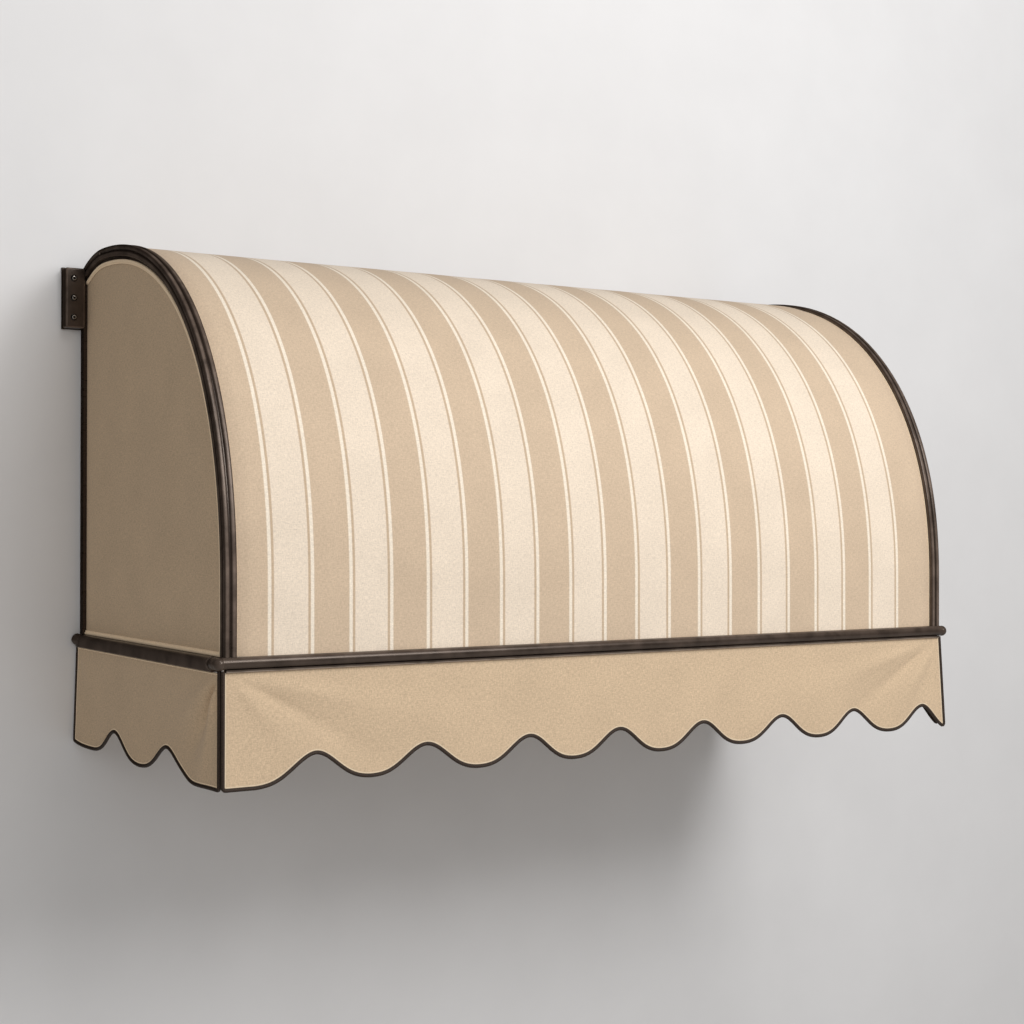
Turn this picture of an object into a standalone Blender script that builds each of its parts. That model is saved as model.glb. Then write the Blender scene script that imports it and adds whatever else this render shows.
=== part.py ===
"""A fixed hood awning for a window: a metal frame of curved bows and rails, a canvas cover, two side
panels and a scalloped valance.

All sizes are in metres. The wall is the plane y = 0, the street is towards -Y, and Z is up. The origin is
the middle of the head rail's back face, on the wall.
"""

import math

import bmesh
import bpy
from mathutils import Matrix, Vector

# The hood's overall sizes
rail_half_width = 0.988  # from the middle to the centre of a corner ball
projection = 0.832  # from the wall to the front rail's axis
crown_height = 0.894  # of the bows' outer surface, above the front rail's axis
crown_setback = 0.141  # from the wall to the highest point of the bows
wall_fall = 0.037  # how far the bows' outer surface falls from the crown to the wall
wall_rise = 0.005  # of that surface above the origin, at the wall
shoulder_height = 0.131  # above the front rail's axis, where the bows turn from straight to curved
hood_fullness = 2.22  # exponent of the curve: 2 is an ellipse, more is squarer
bow_proud = 0.004  # of the bows' front, ahead of the front rail's axis
wall_steps = 5  # outline points from the crown to the wall
hood_steps = 24  # outline points from the crown to the shoulder

gap = 0.0003  # left between faces that touch
past = 0.3  # how far a cutter reaches where it only has to clear a piece
SIDES = ((-1, "left"), (1, "right"))

# End bows, uprights and the ledges that the side panels lie on
bow_inset = 0.010  # of the bows' outer sides, from the corner balls' centres
bow_width = 0.0265
bow_depth = 0.025
bead_height = 0.003
bead_shape = ((0.04, 1.0), (0.22, 0.27), (0.5, 0.0), (0.78, 0.27), (0.96, 0.95))  # shares of its size
groove_width = 0.003
groove_depth = 0.0033
side_groove = 0.0022  # how deep the groove in the bow's side is
side_lip = 0.0045  # height of the rounded edge above the side's flat
bow_chamfer = 0.0015  # on the lower outer edge
foot_height = 0.0085  # of a bow's lowest point, above the front rail's axis
upright_depth = 0.020
ledge_setback = 0.0105  # from the bow's outer side
ledge_thickness = 0.003
ledge_width = 0.022

# Inner bows and the head rail
inner_bow_radius = 0.010
inner_bow_place = 0.320  # from the middle to each inner bow
head_rail_depth = 0.022
head_rail_height = 0.032

# Front rail, its track, and the corner fittings
rail_radius = 0.012
rail_wall = 0.002
track_width = 0.013
track_height = 0.0057
track_corner = 0.0023
ball_radius = 0.0128
ball_drop = 0.001  # of the balls' centres below the front rail's axis
collar_radius = 0.0122
collar_reach = 0.035  # from a ball's centre to the collar's end
ring_radius = 0.0136
ring_width = 0.003
socket_depth = 0.0035  # how far the front rail goes into a ball
spigot_length = 0.026

# Side rails and their ball caps
side_rail_width = 0.024
side_rail_height = 0.028
side_rail_inset = 0.009  # of its middle, from the corner balls' centres
side_rail_top = 0.010  # above the front rail's axis
side_rail_corner = 0.009  # radius of its upper outer edge
side_rail_wall = 0.002
side_rail_end = 0.0065  # from the wall to its rear end
cap_radius = 0.0138
cap_setback = 0.0135  # of the cap ball's centre, from the wall

# Wall brackets and their screws
bracket_width = 0.045
bracket_depth = 0.030
bracket_height = 0.139
bracket_middle = -0.0610  # height of its middle, from the origin
bracket_wall = 0.003
bracket_corner = 0.004
plate_thickness = 0.004
plate_margin = 0.002  # of the plate past the bracket
screw_pitch = 0.045
screw_count = 3
screw_shift = 0.0040  # of the screws, outwards from the bracket's middle
head_radius = 0.006
head_height = 0.0035
head_shape = ((0.6, 0.95), (0.92, 0.55), (1.0, 0.0))  # shares of its radius and height
socket_share = 0.5  # of the head's height, left under the socket
shank_radius = 0.0025
hole_clearance = 0.0004
socket_radius = 0.0021
rivet_radius = 0.0035
rivet_height = 0.0016
rivet_shape = ((0.0, 1.0), (0.55, 0.85), (0.9, 0.45), (1.0, 0.0))  # shares of its radius and height
rivet_shank = 0.0015
rivet_length = 0.006
rivet_place = 0.105  # from the wall
rivet_inset = 0.0073  # from the bow's outer surface
foot_leg = 0.041
foot_reach = 0.056
foot_thickness = 0.004
foot_tall = 0.024
foot_screw_places = (0.0125, 0.0300)  # from the foot bracket's outer side

# Cover, side panels and their welts
cover_inset = 0.004  # of the cover, below the bows' outer surface
cover_thickness = 0.0025
panel_gap = 0.0075  # between the bow and the side panel's edge
panel_thickness = 0.0022
welt_width = 0.010
welt_thickness = 0.0035

# Valance: the hem is a row of scallops, and its height follows a wave of two terms
valance_inset = 0.008  # of the front valance's end binding, from the corner balls' centres
side_valance_inset = 0.004  # of the side valances' plane, from the corner balls' centres
side_valance_start = 0.0078  # from the front rail's axis back to the side valances' front binding
side_valance_end = 0.0045  # from the wall to their rear binding
valance_thickness = 0.002
hem_drop = 0.2170  # of the wave's middle, below the front rail's axis
hem_wave = 0.0278
hem_peak = 0.0042  # second term: sharpens the crests, widens the troughs
# Each knot is a place along the valance, the wave's phase there (whole at a crest), and how much lower
# the hem hangs there. The places between two knots share what lies between their values.
front_waves = (
    (-0.915, -0.5, 0.005),
    (-0.780, 0.0, 0.0),
    (-0.268, 2.0, 0.0),
    (0.688, 6.0, 0.0),
    (0.909, 7.0, 0.002),
)
front_ends = ((-0.5, 0.005), (7.38, 0.008))  # phase and drop at the two end bindings
left_waves = ((-0.715, -0.5, 0.006), (-0.557, 0.0, 0.006), (-0.252, 1.0, 0.006), (-0.116, 1.5, 0.0035))
left_ends = ((-0.5, 0.005), (1.62, 0.0025))
right_waves = ((-0.7535, 0.0, 0.0), (-0.450, 1.0, 0.0), (-0.150, 2.0, 0.0))
right_ends = ((-0.5, 0.005), (2.48, 0.0))
binding_radius = 0.0041
binding_turn = 0.006  # radius of the binding's bend at a corner
hem_steps = 9  # outline points for each scallop

# How finely round pieces are faceted
rail_sides = 32
hole_sides = 16
ball_sides = 24
ball_rings = 12
turned_sides = 14
corner_steps = 5

# Places worked out from the sizes
rail_drop = crown_height - wall_fall - wall_rise
rail_z = -rail_drop
bow_side = rail_half_width - bow_inset
bow_inner_side = bow_side - bow_width
rail_top_z = rail_z + side_rail_top
rail_bottom_z = rail_top_z - side_rail_height
track_bottom_z = rail_z - rail_radius - gap - track_height
ball_z = rail_z - ball_drop
side_rail_x = rail_half_width - side_rail_inset
bracket_x = bow_side + gap + bracket_width / 2


def make_collection(name):
    collection = bpy.data.collections.new(name)
    bpy.context.scene.collection.children.link(collection)
    return collection


def make_material(name, colour, roughness, metallic=0.0):
    material = bpy.data.materials.new(name)
    material.use_nodes = True
    shader = material.node_tree.nodes["Principled BSDF"]
    shader.inputs["Base Color"].default_value = (*colour, 1.0)
    shader.inputs["Roughness"].default_value = roughness
    shader.inputs["Metallic"].default_value = metallic
    return material


for old in list(bpy.data.objects):
    bpy.data.objects.remove(old, do_unlink=True)

awning = make_collection("window_awning")
cutters = make_collection("cutters")

bronze = make_material("dark_bronze_metal", (0.045, 0.035, 0.030), 0.38, 0.6)
steel = make_material("screw_metal", (0.20, 0.18, 0.16), 0.35, 0.9)
striped_canvas = make_material("striped_canvas", (0.62, 0.50, 0.36), 0.85)
beige_canvas = make_material("beige_canvas", (0.56, 0.43, 0.29), 0.85)
pale_welt = make_material("pale_welt", (0.66, 0.55, 0.41), 0.80)
brown_binding = make_material("brown_binding", (0.055, 0.038, 0.028), 0.65)


# Outlines


def cut_at(a, b, axis, value):
    """The point between a and b whose coordinate on the axis is the value."""
    share = (value - a[axis]) / (b[axis] - a[axis])
    return tuple(p + (q - p) * share for p, q in zip(a, b))


def normals_of(points):
    """Unit vectors to the left of an open line's direction, one for each point."""
    found = []
    for i, here in enumerate(points):
        before = points[max(i - 1, 0)]
        after = points[min(i + 1, len(points) - 1)]
        along = Vector((after[0] - before[0], after[1] - before[1])).normalized()
        found.append(Vector((-along.y, along.x)))
    return found


def shifted(points, distance):
    """The open line, moved to its left by the distance."""
    return [(p[0] + n.x * distance, p[1] + n.y * distance) for p, n in zip(points, normals_of(points))]


def mitred(before, here, after, distance):
    """The corner of a line, moved to its left so that both edges there move by the distance."""
    into = (Vector(here) - Vector(before)).normalized()
    out = (Vector(after) - Vector(here)).normalized()
    mitre = Vector((-into.y - out.y, into.x + out.x))
    return tuple(Vector(here) + mitre * (2 * distance / mitre.length_squared))


def inset_loop(points, distance):
    """The closed outline, moved inwards by the distance. Its points run anticlockwise."""
    around = zip([points[-1], *points], points, [*points[1:], points[0]])
    return [mitred(*corner, distance) for corner in around]


def hood_outline():
    """(y, z) points of the bows' outer surface, from behind the wall plane to below the front rail."""
    points = []
    crown_z = rail_z + crown_height
    behind = 2  # points past the wall, cut off later
    for i in range(wall_steps + behind, 0, -1):
        share = i / wall_steps
        points.append((-crown_setback * (1 - share), crown_z - wall_fall * share**2))
    reach = projection + bow_proud - crown_setback
    rise = crown_height - shoulder_height
    for i in range(hood_steps + 1):
        angle = math.pi / 2 * i / hood_steps
        out = math.sin(angle) ** (2 / hood_fullness)
        up = max(math.cos(angle), 0) ** (2 / hood_fullness)
        points.append((-crown_setback - reach * out, rail_z + shoulder_height + rise * up))
    points.append((-projection - bow_proud, rail_z - rail_radius))
    return points


def hood_curve(inset, start_y, end_z):
    """The bows' outline moved in by the inset, from the depth start_y down to the height end_z."""
    line = shifted(hood_outline(), inset)
    first = next(i for i, p in enumerate(line) if p[0] <= start_y)
    last = max(i for i, p in enumerate(line) if p[1] > end_z)
    middle = line[first : last + 1]
    start = cut_at(line[first - 1], line[first], 0, start_y)
    end = cut_at(line[last], line[last + 1], 1, end_z)
    return [start, *middle, end]


def hood_band(outer_inset, inner_inset, start_y, end_z):
    """The closed outline of a band that follows the bows."""
    outer = hood_curve(outer_inset, start_y, end_z)
    inner = hood_curve(inner_inset, start_y, end_z)
    return outer + inner[::-1]


def arc(centre, radius, start, end, steps):
    """Points on an arc, between two angles in degrees."""
    angles = (math.radians(start + (end - start) * i / steps) for i in range(steps + 1))
    return [(centre[0] + radius * math.cos(a), centre[1] + radius * math.sin(a)) for a in angles]


# Makers of solids


def link(name, data, material):
    piece = bpy.data.objects.new(name, data)
    awning.objects.link(piece)
    data.materials.append(material)
    return piece


def add_cutter(name, data):
    cutter = bpy.data.objects.new(name, data)
    cutters.objects.link(cutter)
    cutter.hide_render = True
    cutter.display_type = "WIRE"
    return cutter


def combine(piece, other, operation="DIFFERENCE"):
    modifier = piece.modifiers.new(operation.lower(), "BOOLEAN")
    modifier.object = other
    modifier.operation = operation


def add_spline(curve, points, cyclic):
    spline = curve.splines.new("POLY")
    spline.points.add(len(points) - 1)
    for point, place in zip(spline.points, points):
        point.co = (*place, 1.0)
    spline.use_cyclic_u = cyclic


def smooth(mesh, degrees=35):
    mesh.shade_smooth()
    mesh.set_sharp_from_angle(angle=math.radians(degrees))


def as_mesh(piece):
    """Turns a curve object into a mesh object, with its caps welded, so that it can be cut or joined."""
    bpy.context.view_layer.update()
    evaluated = piece.evaluated_get(bpy.context.evaluated_depsgraph_get())
    mesh = bpy.data.meshes.new_from_object(evaluated)
    shape = bmesh.new()
    shape.from_mesh(mesh)
    bmesh.ops.remove_doubles(shape, verts=shape.verts, dist=0.00001)
    bmesh.ops.recalc_face_normals(shape, faces=shape.faces)
    shape.to_mesh(mesh)
    shape.free()
    smooth(mesh)
    name = piece.name
    place = piece.matrix_world.copy()
    home = piece.users_collection[0]
    bpy.data.objects.remove(piece, do_unlink=True)
    solid = bpy.data.objects.new(name, mesh)
    home.objects.link(solid)
    solid.matrix_world = place
    return solid


SIDEWAYS = (math.pi / 2, 0, math.pi / 2)  # an outline's x and y become world Y and Z
FACING = (math.pi / 2, 0, 0)  # they become world X and Z, and its thickness runs along Y
FLAT = (0, 0, 0)


def sheet_curve(name, loops, thickness):
    curve = bpy.data.curves.new(name, "CURVE")
    curve.dimensions = "2D"
    curve.fill_mode = "BOTH"
    curve.extrude = thickness / 2
    for loop in loops:
        add_spline(curve, [(*p, 0.0) for p in loop], True)
    return curve


def sheet(name, loops, thickness, material, turn, place):
    """A flat piece with the outlines given, extruded both ways from its middle plane."""
    piece = link(name, sheet_curve(name, loops, thickness), material)
    piece.rotation_euler = turn
    piece.location = place
    return as_mesh(piece)


def sheet_cutter(name, loops, thickness, turn, place):
    cutter = add_cutter(name, sheet_curve(name, loops, thickness))
    cutter.rotation_euler = turn
    cutter.location = place
    cutter = as_mesh(cutter)
    cutter.hide_render = True
    cutter.display_type = "WIRE"
    return cutter


def tube(name, points, radius, material):
    """A round bar along a line of points."""
    curve = bpy.data.curves.new(name, "CURVE")
    curve.dimensions = "3D"
    curve.bevel_depth = radius
    curve.bevel_resolution = 2
    curve.use_fill_caps = True
    add_spline(curve, points, False)
    return as_mesh(link(name, curve, material))


def swept_bar(name, path, section, x, material):
    """A bar with one section all along a path of (y, z) points."""
    profile = bpy.data.curves.new(name + "_section", "CURVE")
    profile.dimensions = "2D"
    add_spline(profile, [(*p, 0.0) for p in section], True)
    guide = add_cutter(name + "_section", profile)
    curve = bpy.data.curves.new(name, "CURVE")
    curve.dimensions = "2D"
    curve.bevel_mode = "OBJECT"
    curve.bevel_object = guide
    curve.use_fill_caps = True
    add_spline(curve, [(*p, 0.0) for p in path], False)
    bar = link(name, curve, material)
    bar.rotation_euler = SIDEWAYS
    bar.location = (x, 0, 0)
    bar = as_mesh(bar)
    bpy.data.objects.remove(guide, do_unlink=True)
    return bar


def box_mesh(name, low, high):
    shape = bmesh.new()
    bmesh.ops.create_cube(shape, size=1.0)
    size = [b - a for a, b in zip(low, high)]
    middle = [(a + b) / 2 for a, b in zip(low, high)]
    bmesh.ops.scale(shape, vec=size, verts=shape.verts)
    bmesh.ops.translate(shape, vec=middle, verts=shape.verts)
    mesh = bpy.data.meshes.new(name)
    shape.to_mesh(mesh)
    shape.free()
    return mesh


def box(name, low, high, material, bevel=0.0):
    piece = link(name, box_mesh(name, low, high), material)
    if bevel:
        edge = piece.modifiers.new("round", "BEVEL")
        edge.width = bevel
        edge.segments = 3
    return piece


def cylinder_mesh(name, start, end, radius, sides=rail_sides):
    start = Vector(start)
    end = Vector(end)
    axis = end - start
    turn = axis.to_track_quat("Z", "Y").to_matrix().to_4x4()
    shape = bmesh.new()
    bmesh.ops.create_cone(
        shape, cap_ends=True, segments=sides, radius1=radius, radius2=radius, depth=axis.length
    )
    bmesh.ops.transform(shape, matrix=Matrix.Translation((start + end) / 2) @ turn, verts=shape.verts)
    mesh = bpy.data.meshes.new(name)
    shape.to_mesh(mesh)
    shape.free()
    smooth(mesh)
    return mesh


def ball_mesh(name, centre, radius):
    shape = bmesh.new()
    bmesh.ops.create_uvsphere(shape, u_segments=ball_sides, v_segments=ball_rings, radius=radius)
    bmesh.ops.translate(shape, vec=centre, verts=shape.verts)
    mesh = bpy.data.meshes.new(name)
    shape.to_mesh(mesh)
    shape.free()
    smooth(mesh)
    return mesh


def turned(name, profile, place, material, towards=FLAT):
    """A round piece: the profile of (radius, height) runs from the top of the axis to its foot."""
    mesh = bpy.data.meshes.new(name)
    mesh.from_pydata([(r, 0, h) for r, h in profile], [(i, i + 1) for i in range(len(profile) - 1)], [])
    piece = link(name, mesh, material)
    spin = piece.modifiers.new("turn", "SCREW")
    spin.steps = turned_sides
    spin.render_steps = turned_sides
    spin.use_merge_vertices = True
    spin.merge_threshold = 0.00001
    piece.rotation_euler = towards
    piece.location = place
    return piece


# Frame


def bow_section(side):
    """The bow's section: across it from its outer side, and down from its outer surface."""
    half = (bow_width - groove_width) / 2
    first = [(half * across, bead_height * down) for across, down in bead_shape]
    second = [(bow_width - across, down) for across, down in reversed(first)]
    groove = [(bow_width / 2, groove_depth)]
    middle = bow_depth / 2
    groove_half = groove_width / 2
    side_line = [
        (0.0, bow_depth - bow_chamfer),
        (0.0, middle + groove_half * 2),
        (side_groove, middle + groove_half),
        (side_groove, middle - groove_half),
        (0.0, middle - groove_half * 2),
        (0.0, side_lip),
    ]
    around = [*first, *groove, *second, (bow_width, bow_depth), (bow_chamfer, bow_depth), *side_line]
    return [(-down, -side * across) for across, down in around]


def cut_at_wall(piece, name):
    """Cuts off what stands behind the wall plane."""
    reach = rail_half_width + bracket_width * 2
    cutter = add_cutter(name, box_mesh(name, (-reach, 0, -past), (reach, past, past)))
    combine(piece, cutter)


def saddle_cutter(name, x, width):
    """A cylinder a little larger than the front rail, which cuts a foot to fit over it."""
    start = (x - width, -projection, rail_z)
    end = (x + width, -projection, rail_z)
    return add_cutter(name, cylinder_mesh(name, start, end, rail_radius + gap))


def rivet_spot():
    """The (y, z) place of the rivet on the bow's side."""
    line = hood_curve(rivet_inset, 0.0, rail_z)
    after = next(i for i, p in enumerate(line) if p[0] <= -rivet_place)
    return cut_at(line[after - 1], line[after], 0, -rivet_place)


def make_end_bow(side, label):
    path = hood_curve(0.0, crown_setback / wall_steps, rail_z + foot_height)
    bow = swept_bar(label + "_end_bow", path, bow_section(side), side * bow_side, bronze)
    cut_at_wall(bow, label + "_bow_wall_cut")
    combine(bow, saddle_cutter(label + "_bow_saddle", side * (bow_side - bow_width / 2), bow_width))
    y, z = rivet_spot()
    outside = (side * (bow_side + rivet_length), y, z)
    inside = (side * (bow_side - rivet_length - gap), y, z)
    hole = label + "_rivet_hole"
    combine(bow, add_cutter(hole, cylinder_mesh(hole, outside, inside, rivet_shank + gap, turned_sides)))


def make_rivet(side, label):
    profile = [
        *((rivet_radius * out, rivet_height * up) for out, up in rivet_shape),
        (rivet_shank, 0.0),
        (rivet_shank, -rivet_length),
        (0.0, -rivet_length),
    ]
    y, z = rivet_spot()
    outwards = (0, side * math.pi / 2, 0)
    turned(label + "_bow_rivet", profile, (side * (bow_side + gap), y, z), bronze, outwards)


def make_upright(side, label):
    """The bar that stands on the side rail, against the wall, and carries the bow's rear end."""
    middle = upright_depth / 2
    groove_half = groove_width / 2
    section = [
        (0, 0),
        (0, middle - groove_half * 2),
        (side_groove, middle - groove_half),
        (side_groove, middle + groove_half),
        (0, middle + groove_half * 2),
        (0, upright_depth),
        (bow_width, upright_depth),
        (bow_width, 0),
    ]
    loop = [(side * (bow_side - across), -depth) for across, depth in section]
    low = rail_top_z + gap
    height = rail_drop - side_rail_top
    middle_z = low + height / 2
    upright = sheet(label + "_upright", [loop], height, bronze, FLAT, (0, 0, middle_z))
    under = hood_band(-bow_depth, bow_depth + gap, crown_setback / wall_steps, rail_z)
    name = label + "_upright_top_cut"
    combine(upright, sheet_cutter(name, [under], bow_width * 3, SIDEWAYS, (side * bow_side, 0, 0)))


def make_ledge(side, label):
    """The strip inside a bow that the side panel's edge lies against."""
    start = -upright_depth - gap
    loop = hood_band(bow_depth + gap, bow_depth + gap + ledge_width, start, rail_top_z + gap)
    x = side * (bow_side - ledge_setback - ledge_thickness / 2)
    sheet(label + "_panel_ledge", [loop], ledge_thickness, bronze, SIDEWAYS, (x, 0, 0))


def make_inner_bow(side, label):
    inset = cover_inset + cover_thickness + gap + inner_bow_radius
    path = hood_curve(inset, 0.0, rail_z)
    x = side * inner_bow_place
    bow = tube(label + "_inner_bow", [(x, y, z) for y, z in path], inner_bow_radius, bronze)
    combine(bow, saddle_cutter(label + "_inner_saddle", x, inner_bow_radius * 2))
    name = label + "_inner_bow_rear_cut"
    low = (x - inner_bow_radius * 2, -head_rail_depth - gap, -head_rail_height * 2)
    high = (x + inner_bow_radius * 2, head_rail_depth, head_rail_height * 2)
    combine(bow, add_cutter(name, box_mesh(name, low, high)))


def make_head_rail():
    half = bow_inner_side - gap
    low = (-half, -head_rail_depth, -head_rail_height / 2)
    high = (half, 0, head_rail_height / 2)
    box("head_rail", low, high, bronze)


def make_front_rail():
    half = rail_half_width - ball_radius + socket_depth
    start = (-half, -projection, rail_z)
    end = (half, -projection, rail_z)
    rail = link("front_rail", cylinder_mesh("front_rail", start, end, rail_radius), bronze)
    bore_start = (-half - rail_radius, -projection, rail_z)
    bore_end = (half + rail_radius, -projection, rail_z)
    bore = cylinder_mesh("front_rail_bore", bore_start, bore_end, rail_radius - rail_wall)
    combine(rail, add_cutter("front_rail_bore", bore))


def make_track():
    """The bead under the front rail that holds the valance's top edge."""
    half = rail_half_width - ball_radius - gap
    middle = -projection
    low = (-half, middle - track_width / 2, track_bottom_z)
    high = (half, middle + track_width / 2, track_bottom_z + track_height)
    box("front_valance_track", low, high, bronze, bevel=track_corner)


def spigot_box(name, side, start_y, end_y):
    """A block that fits in a side rail's bore."""
    slack = side_rail_wall + gap
    low_x = side_rail_x - side_rail_width / 2 + slack
    high_x = side_rail_x + side_rail_width / 2 - side_rail_corner / 2
    low = (min(side * low_x, side * high_x), start_y, rail_bottom_z + slack)
    high = (max(side * low_x, side * high_x), end_y, rail_top_z - side_rail_corner / 2)
    return box_mesh(name, low, high)


def make_corner_fitting(side, label):
    name = label + "_corner_fitting"
    x = side * rail_half_width
    centre = (x, -projection, ball_z)
    end = (x, -projection + collar_reach, ball_z)
    ring_start = (x, -projection + collar_reach - ring_width, ball_z)
    fitting = link(name, ball_mesh(name, centre, ball_radius), bronze)
    combine(fitting, add_cutter(name + "_collar", cylinder_mesh(name, centre, end, collar_radius)), "UNION")
    combine(fitting, add_cutter(name + "_ring", cylinder_mesh(name, ring_start, end, ring_radius)), "UNION")
    rail_end = rail_half_width - ball_radius + socket_depth + gap
    socket_start = (side * rail_end, -projection, rail_z)
    socket_end = (side * (rail_end - ball_radius), -projection, rail_z)
    socket = cylinder_mesh(name, socket_start, socket_end, rail_radius + gap)
    combine(fitting, add_cutter(name + "_socket", socket))
    root = (x, -projection, rail_z)
    tip = (side * (rail_end - spigot_length), -projection, rail_z)
    spigot = cylinder_mesh(name, root, tip, rail_radius - rail_wall - gap)
    combine(fitting, add_cutter(name + "_rail_spigot", spigot), "UNION")
    block = spigot_box(name, side, end[1] - ring_width, end[1] + spigot_length)
    combine(fitting, add_cutter(name + "_side_spigot", block), "UNION")


def side_rail_loops(side, slack=0.0):
    """The side rail's outer and bore outlines, as (x, z), with its upper outer edge rounded."""
    loops = []
    for inset in (-slack, side_rail_wall):
        inner = side_rail_x - side_rail_width / 2 + inset
        outer = side_rail_x + side_rail_width / 2 - inset
        low = rail_bottom_z + inset
        high = rail_top_z - inset
        radius = side_rail_corner - inset
        curve = arc((outer - radius, high - radius), radius, 0, 90, corner_steps)
        loop = [(inner, low), (outer, low), *curve, (inner, high)]
        loops.append([(side * x, z) for x, z in loop])
    return loops


def make_side_rail(side, label):
    front = -projection + collar_reach + gap
    length = -side_rail_end - front
    middle = front + length / 2
    sheet(label + "_side_rail", side_rail_loops(side), length, bronze, FACING, (0, middle, 0))


def make_rail_cap(side, label):
    """The ball cap on the rear end of a side rail, flat where it meets the wall."""
    name = label + "_rail_cap"
    centre = (side * rail_half_width, -cap_setback, ball_z)
    cap = link(name, ball_mesh(name, centre, cap_radius), bronze)
    wall_low = (-rail_half_width - past, 0, ball_z - past)
    wall_high = (rail_half_width + past, past, ball_z + past)
    combine(cap, add_cutter(name + "_wall_cut", box_mesh(name, wall_low, wall_high)))
    outer, _ = side_rail_loops(side, gap)
    rail_front = -cap_setback - cap_radius * 2
    rail_rear = -side_rail_end + gap
    seat_middle = (rail_front + rail_rear) / 2
    seat_length = rail_rear - rail_front
    seat = sheet_cutter(name + "_seat", [outer], seat_length, FACING, (0, seat_middle, 0))
    combine(cap, seat)
    block = spigot_box(name, side, -side_rail_end - spigot_length, -side_rail_end / 2)
    combine(cap, add_cutter(name + "_plug", block), "UNION")


# Wall fixings


def screw_profile(length):
    floor = head_height * socket_share
    return [
        (0.0, floor),
        (socket_radius, floor),
        (socket_radius, head_height),
        *((head_radius * out, head_height * up) for out, up in head_shape),
        (shank_radius, 0.0),
        (shank_radius, -length),
        (0.0, -length),
    ]


TOWARDS_STREET = (math.pi / 2, 0, 0)


def make_screw(name, x, z, head_y):
    """A wall screw: its head faces the street, and its shank ends just short of the wall plane."""
    length = -head_y - gap * 2
    turned(name, screw_profile(length), (x, head_y - gap, z), steel, TOWARDS_STREET)


def drill(piece, name, x, z):
    start = (x, -bracket_depth * 2, z)
    end = (x, bracket_depth, z)
    mesh = cylinder_mesh(name, start, end, shank_radius + hole_clearance, hole_sides)
    combine(piece, add_cutter(name, mesh))


def make_wall_bracket(side, label):
    """A pressed cover on a flat wall plate, beside the bow's rear end, with three screws through both."""
    near = bow_side + gap
    far = near + bracket_width
    low_z = bracket_middle - bracket_height / 2
    high_z = bracket_middle + bracket_height / 2
    name = label + "_wall_bracket"
    left, right = sorted((side * near, side * far))
    back = -plate_thickness - gap
    bracket = box(name, (left, -bracket_depth, low_z), (right, back, high_z), bronze, bracket_corner)
    wall = bracket_wall
    hollow_low = (left + wall, -bracket_depth + wall, low_z + wall)
    hollow_high = (right - wall, 0, high_z - wall)
    combine(bracket, add_cutter(name + "_hollow", box_mesh(name, hollow_low, hollow_high)))
    plate_name = label + "_bracket_plate"
    plate_left, plate_right = sorted((side * near, side * (far + plate_margin)))
    plate_low = (plate_left, -plate_thickness, low_z - plate_margin)
    plate_high = (plate_right, 0, high_z + plate_margin)
    plate = box(plate_name, plate_low, plate_high, bronze)
    x = side * (bracket_x + screw_shift)
    for i in range(screw_count):
        z = bracket_middle + screw_pitch * (i - (screw_count - 1) / 2)
        drill(bracket, f"{name}_hole_{i + 1}", x, z)
        drill(plate, f"{plate_name}_hole_{i + 1}", x, z)
        make_screw(f"{label}_bracket_screw_{i + 1}", x, z, -bracket_depth)


def make_foot_bracket(side, label):
    """An angle that ties the side rail's rear end to the wall, behind the side valance."""
    outer = side_rail_x - side_rail_width / 2 - gap
    inner = outer - foot_leg
    loop = [
        (outer, 0),
        (outer, -foot_reach),
        (outer - foot_thickness, -foot_reach),
        (outer - foot_thickness, -foot_thickness),
        (inner, -foot_thickness),
        (inner, 0),
    ]
    name = label + "_foot_bracket"
    z = rail_top_z - side_rail_height / 2
    place = (0, 0, z)
    bracket = sheet(name, [[(side * x, y) for x, y in loop]], foot_tall, bronze, FLAT, place)
    for i, distance in enumerate(foot_screw_places):
        x = side * (outer - distance)
        drill(bracket, f"{name}_hole_{i + 1}", x, z)
        make_screw(f"{label}_foot_screw_{i + 1}", x, z, -foot_thickness)


# Canvas


def make_cover():
    """The striped cover: one sheet over the bows, from the head rail to the front rail."""
    line = hood_curve(cover_inset, -head_rail_depth - gap, rail_z + rail_radius + gap)
    half = bow_inner_side - gap
    mesh = bpy.data.meshes.new("canopy_cover")
    shape = bmesh.new()
    edge = [shape.verts.new((-half, y, z)) for y, z in line]
    edges = [shape.edges.new(pair) for pair in zip(edge, edge[1:])]
    pulled = bmesh.ops.extrude_edge_only(shape, edges=edges)["geom"]
    moved = [v for v in pulled if isinstance(v, bmesh.types.BMVert)]
    bmesh.ops.translate(shape, vec=(half * 2, 0, 0), verts=moved)
    for face in shape.faces:
        outwards = face.calc_center_median() - Vector((0, -projection / 2, rail_z / 2))
        if face.normal.dot(outwards) < 0:
            face.normal_flip()
    shape.to_mesh(mesh)
    shape.free()
    cover = link("canopy_cover", mesh, striped_canvas)
    cloth = cover.modifiers.new("cloth", "SOLIDIFY")
    cloth.thickness = cover_thickness
    cloth.offset = -1
    cloth.use_even_offset = True


def panel_outline():
    """The side panel as anticlockwise (y, z) points: the arch, the bottom and the edge at the upright."""
    rear = -upright_depth - gap
    bottom = rail_top_z + gap
    arch = hood_curve(bow_depth + panel_gap, rear, bottom)
    return [*arch, (rear, bottom)]


def welt_outline():
    """The band along the panel's arch and bottom, open at the upright."""
    outline = panel_outline()
    rear = outline[0][0]
    inner = inset_loop(outline, welt_width)
    return [*outline, (rear, inner[-1][1]), *inner[-2:0:-1], (rear, inner[0][1])]


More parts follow.
